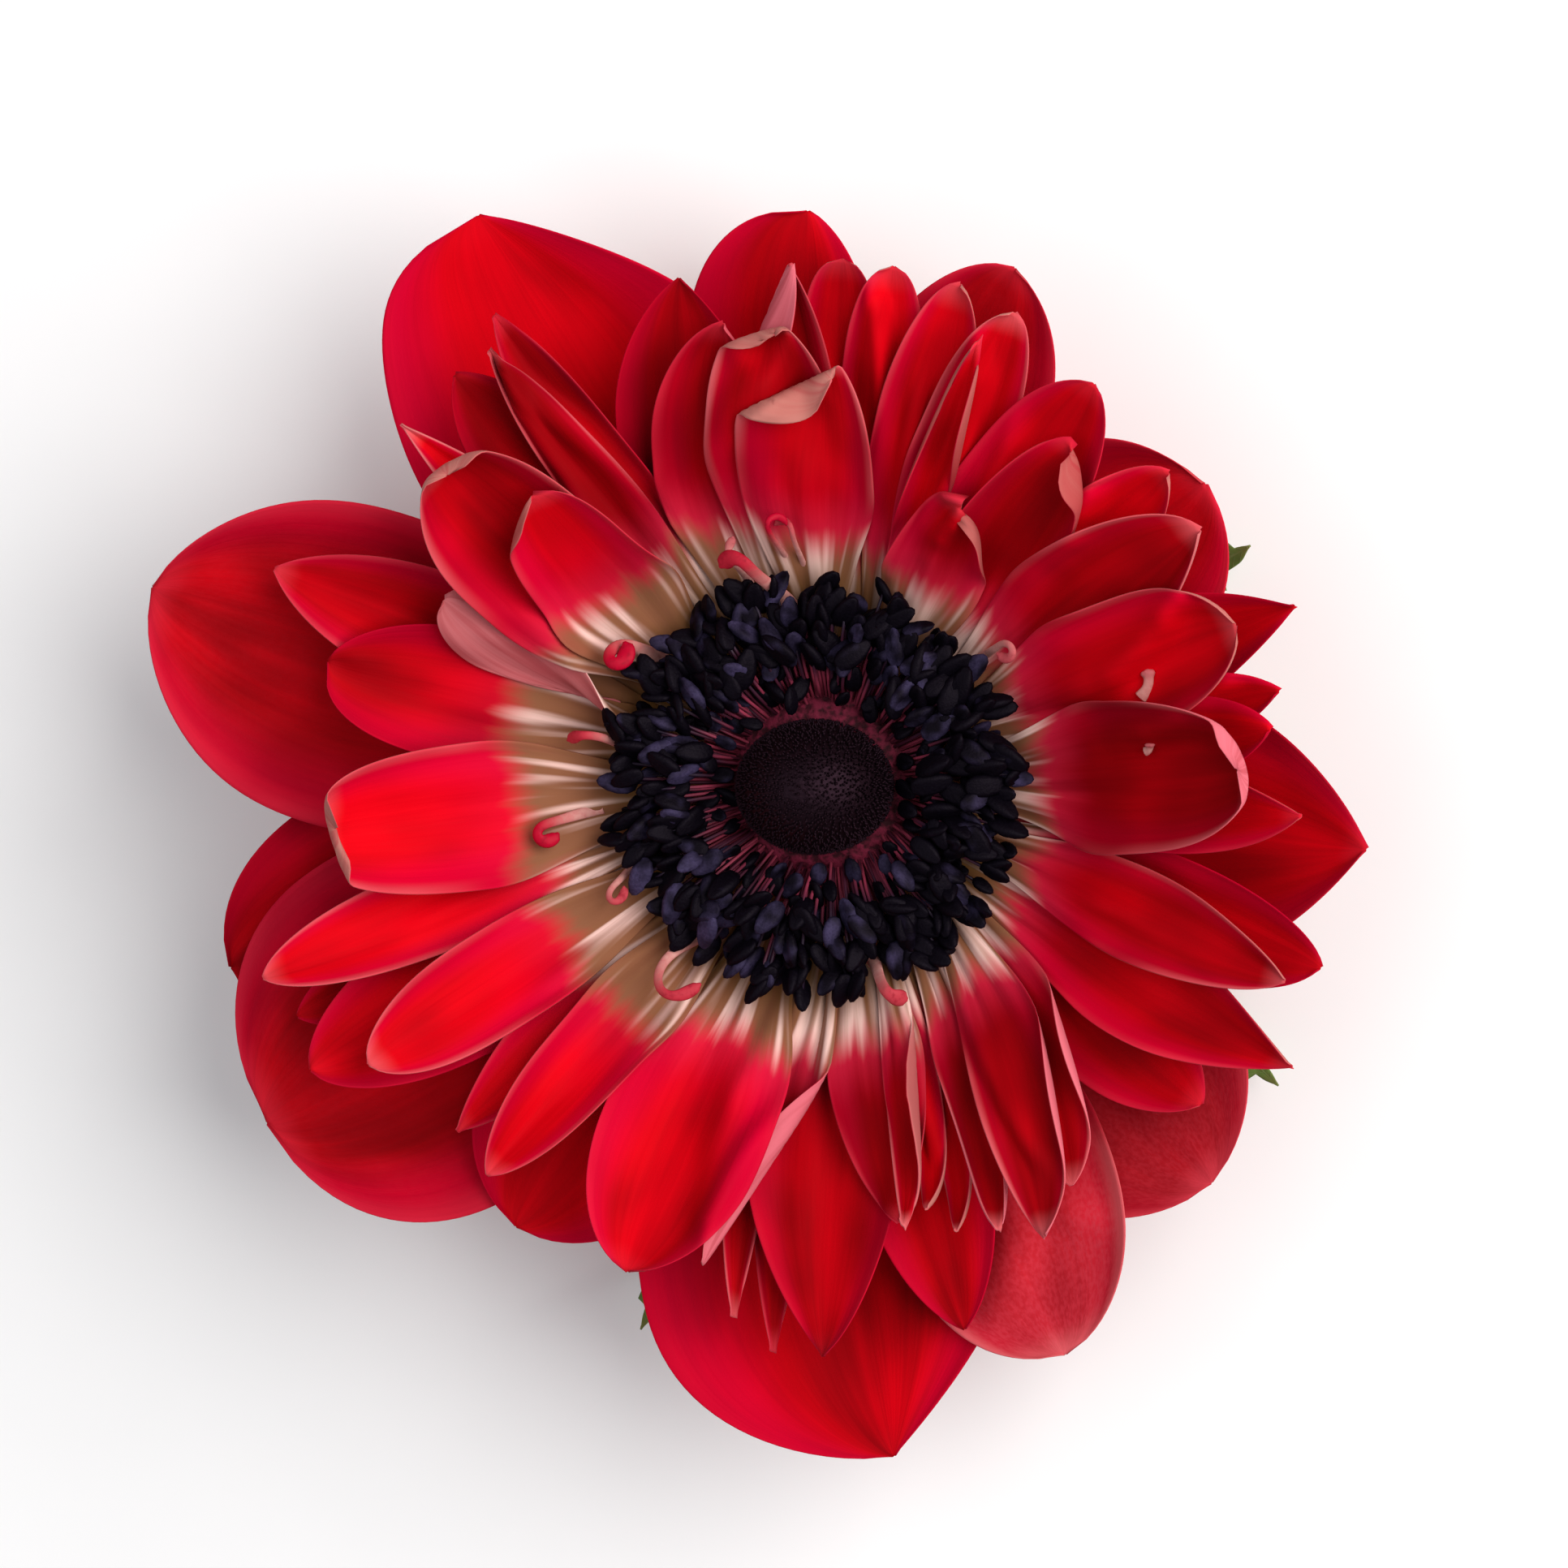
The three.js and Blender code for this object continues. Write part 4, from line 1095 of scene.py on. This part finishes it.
# %% [markdown]
# ## Curled stamens and the seat of the flower
# Eleven stamens have turned half into petals: pale stalks that lean over the ring and end in a red hook.
# Two more have slipped and lie on the petals. Each is a flattened section moved along a smooth line, and
# swells and narrows on its way more freely than a bevelled curve could. A row says where a stalk starts,
# which way it heads, how long it is, how far it turns and from where on, how high it ends, how wide it is
# and how red. One that gives no height lies on the petals' height map. The disc that the filaments stand
# on, the stem and its swollen top are shapes turned about the axis, as the dome is.


# %% Swept shapes
ROD_SIDES = 10


def through(knots, count):
    """A smooth line through knots, evenly numbered."""
    knots = np.array(knots, float)
    padded = np.concatenate([[2 * knots[0] - knots[1]], knots, [2 * knots[-1] - knots[-2]]])
    place = np.linspace(0, len(knots) - 1, count)
    first = np.minimum(place.astype(int), len(knots) - 2)
    t = (place - first)[:, None]
    a, b, c, d = (padded[first + step] for step in range(4))
    square, cube = 2 * a - 5 * b + 4 * c - d, 3 * b - a - 3 * c + d
    return 0.5 * (2 * b + (c - a) * t + square * t ** 2 + cube * t ** 3)


def swept(line, side, widths, depths):
    """Points and faces of a closed rod; side is the direction of its width."""
    tangent = np.gradient(line, axis=0)
    tangent /= np.linalg.norm(tangent, axis=1, keepdims=True)
    side = side - tangent * (tangent * side).sum(1, keepdims=True)
    side /= np.linalg.norm(side, axis=1, keepdims=True)
    normal = np.cross(tangent, side)
    turn = np.linspace(0, 2 * np.pi, ROD_SIDES, endpoint=False)
    ring = side[:, None] * (np.cos(turn)[:, None] * widths[:, None, None] / 2)
    ring = ring + normal[:, None] * (np.sin(turn)[:, None] * depths[:, None, None] / 2)
    points = np.concatenate([line[:1], (line[:, None] + ring).reshape(-1, 3), line[-1:]])
    return points, tube_faces(len(line), ROD_SIDES)


# %% Curled stamens
Curled = namedtuple("Curled", "bearing start heading length turn begin top width blush")
CURLED_STAMENS = [
    Curled(98.5, 12.2, 24, 6.2, 110, 0.55, 20.6, 1.15, 0.9),
    Curled(96.5, 14.4, 6, 5.6, -170, 0.6, 20.6, 0.5, 1.0),
    Curled(93.5, 14.2, -2, 5.2, 130, 0.6, 19.5, 0.5, 0.6),
    Curled(109, 14.4, 2, 3.6, -40, 0.5, 18.5, 0.6, 0.0),
    Curled(142, 13.2, 4, 6.6, 330, 0.3, 20.0, 1.15, 1.0),
    Curled(171, 12.8, -24, 4.8, 60, 0.3, 18.5, 0.8, 0.8),
    Curled(187, 15.2, 8, 6.0, 220, 0.5, 19.0, 0.9, 1.0),
    Curled(203, 13.6, 30, 4.6, 230, 0.4, 18.8, 0.6, 0.6),
    Curled(233, 13.0, -24, 7.6, 190, 0.15, 20.4, 0.85, 0.8),
    Curled(287, 12.0, 30, 4.4, 30, 0.6, 19.8, 1.1, 0.7),
    Curled(38.5, 14.0, -8, 5.6, -250, 0.45, 20.4, 0.65, 0.4),
]
SLIPPED_STAMENS = [
    Curled(16.5, 24.0, 32, 2.1, 56, 0.0, None, 0.9, 0.0),
    Curled(8, 23.7, 10, 0.8, 80, 0.0, None, 0.65, 0.1),
]
STALK_FOOT = 15.2
LYING_GAP = 0.2


def stalk(row, share):
    """The line of a curled stamen, and its heading: it leaves at one angle and turns towards its end."""
    turned = row.turn * smooth((share - row.begin) / (1 - row.begin))
    heading = np.radians(row.bearing + row.heading + turned)
    bearing = math.radians(row.bearing)
    x = row.start * math.cos(bearing) + row.length * running_sum(np.cos(heading), share)
    y = row.start * math.sin(bearing) + row.length * running_sum(np.sin(heading), share)
    if row.top is None:
        ends = np.stack([x, y], -1)[[0, -1]]
        height = np.interp(share, [0, 1], height_map[cell_of(ends)]) + LYING_GAP
    else:
        climb = (STALK_FOOT - row.top) * (1 - smooth(share / 0.7))
        height = row.top + climb - 0.8 * smooth((share - 0.7) / 0.3)
    return np.stack([x, y, height], -1), heading


# %% Curled finish
def curled_recipe(recipe):
    rise, tone = recipe.mark("rise"), recipe.mark("tone")
    streaks = recipe.cloud(recipe.spot(), 2400.0, 2.0)
    pale = recipe.blend(streaks, colour(0.5, 0.14, 0.14), colour(0.66, 0.36, 0.31))
    tip = recipe.blend(tone, colour(0.5, 0.12, 0.13), colour(0.42, 0.0, 0.02))
    tip = recipe.blend(streaks.step(0.45, 0.8) * 0.6, tip, colour(0.2, 0.0, 0.01))
    return {"Base Color": recipe.blend((rise + tone * 0.3).step(0.5, 0.95), pale, tip),
            "Roughness": 0.45 + streaks * 0.2, "Normal": recipe.bump(streaks, 0.3, 0.0001)}


curled_red = finish("curled_red", curled_recipe, Specular_IOR_Level=0.12)
parts = []
for row in CURLED_STAMENS + SLIPPED_STAMENS:
    share = np.linspace(0, 1, 41)
    line, heading = stalk(row, share)
    across = np.stack([-np.sin(heading), np.cos(heading), 0 * heading], -1)
    knob = 0.35 * np.exp(-((share - 0.86) / 0.1) ** 2)
    swell = 1 - 0.25 * smooth(share / 0.5) + knob - 0.6 * smooth((share - 0.94) / 0.06)
    points, faces = swept(line, across, row.width * swell, 0.3 * row.width * swell + 0.15)
    ringed = np.concatenate([[0], np.repeat(share, ROD_SIDES), [1]])
    parts.append((points, faces, {"rise": ringed, "tone": np.full(len(points), row.blush)}))
piece_from("curled_stamens", parts, curled_red, "stamens")


# %% Stem, receptacle and stamen disc
def stem_recipe(recipe):
    stretched = {"Vector": recipe.spot(), "Scale": (1.0, 1.0, 0.12)}
    ribs = recipe.cloud(recipe.node("ShaderNodeMapping", None, stretched), 2600.0, 2.0)
    blotches = recipe.cloud(recipe.spot(), 420.0, 2.0)
    green = recipe.blend(ribs, colour(0.05, 0.1, 0.02), colour(0.12, 0.19, 0.06))
    green = recipe.blend(blotches.step(0.5, 0.8) * 0.6, green, colour(0.14, 0.05, 0.03))
    return {"Base Color": green, "Roughness": 0.5 + ribs * 0.25, "Normal": recipe.bump(ribs, 0.5, 0.0004)}


def disc_recipe(recipe):
    grain = recipe.cloud(recipe.spot(), 1800.0, 3.0)
    plum = recipe.blend(grain.step(0.35, 0.65), colour(0.03, 0.002, 0.006), colour(0.17, 0.012, 0.035))
    return {"Base Color": plum, "Roughness": 0.6 + grain * 0.2, "Normal": recipe.bump(grain, 0.6, 0.0003)}


stem_green = finish("stem_green", stem_recipe, Specular_IOR_Level=0.25)
disc_plum = finish("disc_plum", disc_recipe, Specular_IOR_Level=0.15)
STEM_PROFILE = [(0, 0.6), (1.75, 0.6), (2.0, 0.68), (2.1, 0.9), (2.08, 2.8), (2.1, 5.0), (2.3, 7.0),
                (3.4, 8.1), (4.4, 8.6), (4.5, 9.6), (4.5, 10.8), (4.3, 12.6), (3.8, 13.6), (0, 13.8)]
DISC_PROFILE = [(0, 13.0), (4.4, 12.4), (6.2, 12.2), (8.6, 12.9), (8.9, 13.3), (8.2, 13.7), (6.6, 14.2),
                (5.4, 14.9), (4.0, 15.2), (0, 15.3)]
turned_piece("stem_body", STEM_PROFILE, stem_green, "stem")
turned_piece("stamen_disc", DISC_PROFILE, disc_plum, "stamens")

# %% [markdown]
# ## The leaf ruff
# Three bracts stand below an anemone, each cut into narrow toothed lobes. Here they carry the flower: each
# lobe droops from the stem to the table and lifts again at its tip. A lobe is a sheet whose margin steps
# out in teeth, with a raised vein along it. A leaf cut out of a plane would keep flat teeth; here they
# follow the fold of the lobe. It gets its thickness as the petals do.

# %% Leaf lobes
Lobe = namedtuple("Lobe", "bearing reach width")
BRACTS = {
    358: [(-33.8, 37.0, 2.9), (-15, 31, 3.4), (0, 30.5, 3.8), (14, 29.5, 3.4), (31.5, 32.3, 3.0)],
    118: [(-30, 34, 3.2), (-16, 36, 3.4), (0, 37, 3.8), (14, 37, 3.4), (31, 34, 3.2)],
    238: [(-30, 34, 3.2), (-14, 34, 3.4), (0, 33, 3.6), (11.0, 42.8, 2.6), (31, 34, 3.2)],
}
LEAF_THICKNESS = 0.36
LOBE_ROWS = 72
LOBE_COLUMNS = 12
LOWEST = 0.32
RAISED = 0.05
TEETH = 6.0


def toothed(s, draw):
    """How much further the margin stands out, on either side: saw teeth that fade at both ends."""
    sides = []
    for _ in range(2):
        phase = (TEETH * s + draw.uniform(0, 1)) % 1
        sides.append(1.5 * phase ** 1.6 * smooth((s - 0.3) / 0.1) * (1 - smooth((s - 0.94) / 0.06)))
    return sides


def lobe_sheet(lobe, seed):
    """The middle surface of a lobe and its marks."""
    draw = chance(seed)
    past_bend = [(18, 3.6), (12, 0.95), (9, 0.42), (6, 0.6), (3, 2.0), (0, 4.2)]
    knots = [(4.6, 6.15, 0), (9.5, 6.1, 0), *((lobe.reach - back, height, 0) for back, height in past_bend)]
    line = through(knots, LOBE_ROWS + 1)
    line[:, 1] += RAISED
    s = np.linspace(0, 1, LOBE_ROWS + 1)
    u = np.linspace(-1, 1, LOBE_COLUMNS + 1)
    sway = draw.uniform(-1.2, 1.2) * smooth((s - 0.4) / 0.6)
    body = 0.55 + 0.45 * np.sin(np.pi * np.minimum(1.25 * s, 1)) ** 0.8
    body = body * (1 - np.clip((s - 0.8) / 0.2, 0, 1) ** 1.6) ** 0.8
    right, left = toothed(s, draw)
    share = np.where(u < 0, (body * (1 + right))[:, None], (body * (1 + left))[:, None])
    over = lobe.width / 2 * np.maximum(share, 0.05) * u
    fold = 0.28 * np.abs(over) + 0.25 * np.exp(-(u / 0.14) ** 2) * (1 - s)[:, None]
    height = np.maximum(line[:, 1:2] + fold, LOWEST)
    points = np.stack([np.broadcast_to(line[:, :1], over.shape), over + sway[:, None], height], -1)
    marks = on_grid(over.shape, along=s[:, None], across=u, tone=draw.uniform(0, 1), aside=over)
    return points @ about_axis(math.radians(lobe.bearing)), marks


# %% Leaf finish
def leaf_recipe(recipe):
    along, across, tone, aside, back = map(recipe.mark, ("along", "across", "tone", "aside", "back"))
    branching = (aside.math("ABSOLUTE") * 1.6 + along * 34.0).math("FRACT")
    midrib = across.math("ABSOLUTE").step(0.16, 0.04)
    vein = (branching - 0.5).math("ABSOLUTE").step(0.42, 0.5).math("MAXIMUM", midrib)
    mottle = recipe.cloud(recipe.place(aside * 1.4, along * 16.0, tone * 30.0), 1.0, 3.0)
    green = recipe.blend(mottle, colour(0.08, 0.16, 0.03), colour(0.18, 0.3, 0.07))
    green = recipe.blend(vein * 0.5, green, colour(0.24, 0.34, 0.12))
    green = recipe.blend(along.step(0.93, 1.0) * 0.5, green, colour(0.2, 0.16, 0.05))
    green = recipe.blend(back.step(0.6, 1.0) * 0.6, green, colour(0.14, 0.2, 0.09))
    relief = recipe.bump(vein + mottle * 0.4, 0.4, 0.0003)
    return {"Base Color": green, "Roughness": 0.55 + mottle * 0.2, "Normal": relief}


leaf_green = finish("leaf_green", leaf_recipe, Specular_IOR_Level=0.2)
lobes = [Lobe(middle + offset, reach, width)
         for middle, rows in BRACTS.items() for offset, reach, width in rows]
parts = []
for number, lobe in enumerate(lobes):
    points, marks = lobe_sheet(lobe, 300 + number)
    parts.append((*closed_sheet(points, LEAF_THICKNESS), two_faced(marks)))
piece_from("leaf_lobes", parts, leaf_green, "involucre")
COLLAR_PROFILE = [(0, 5.2), (5.6, 5.5), (6.4, 5.9), (6.5, 6.2), (5.8, 6.5), (3.4, 6.85), (0, 6.9)]
turned_piece("leaf_collar", COLLAR_PROFILE, stem_green, "involucre")

# %% [markdown]
# ## Silky hairs
# The stem of an anemone is downy. Hair curves would be lost in the export, so the hairs are thin cones with
# three sides, which a tree sets round the stem and lets droop.

# %% Hairs
HAIR = {"Vertices": 3, "Radius Top": 0.012, "Radius Bottom": 0.05}


def hair_tree(recipe, size):
    seed = size["Seed"]
    share, turn = golden_turn(recipe, size, 0.4, seed)
    east, north = turn.math("COSINE"), turn.math("SINE")
    height = size["Low"] + share * (size["High"] - size["Low"])
    spot = recipe.place(east * size["Radius"], north * size["Radius"], height)
    cone = recipe.node("GeometryNodeMeshCone", {"fill_type": "NGON"}, {**HAIR, "Depth": size["Length"]})
    droop = random_between(recipe, -0.9, 0.5, seed + 1)
    facing = pointing(recipe, recipe.place(east, north, droop))
    return crowd(recipe, size, spot, cone, facing, seed + 2)


def hair_recipe(recipe):
    tone = recipe.mark("tone")
    return {"Base Color": recipe.blend(tone, colour(0.3, 0.33, 0.22), colour(0.5, 0.5, 0.4)),
            "Roughness": 0.5 + tone * 0.2}


hair_silver = finish("hair_silver", hair_recipe, Specular_IOR_Level=0.2)
HAIRS = {"Count": 520, "Low": 1.0, "High": 5.2, "Radius": 2.08, "Length": 0.7}
grown("stem_hairs", hair_tree, HAIRS, 31, hair_silver, "stem", "stem")
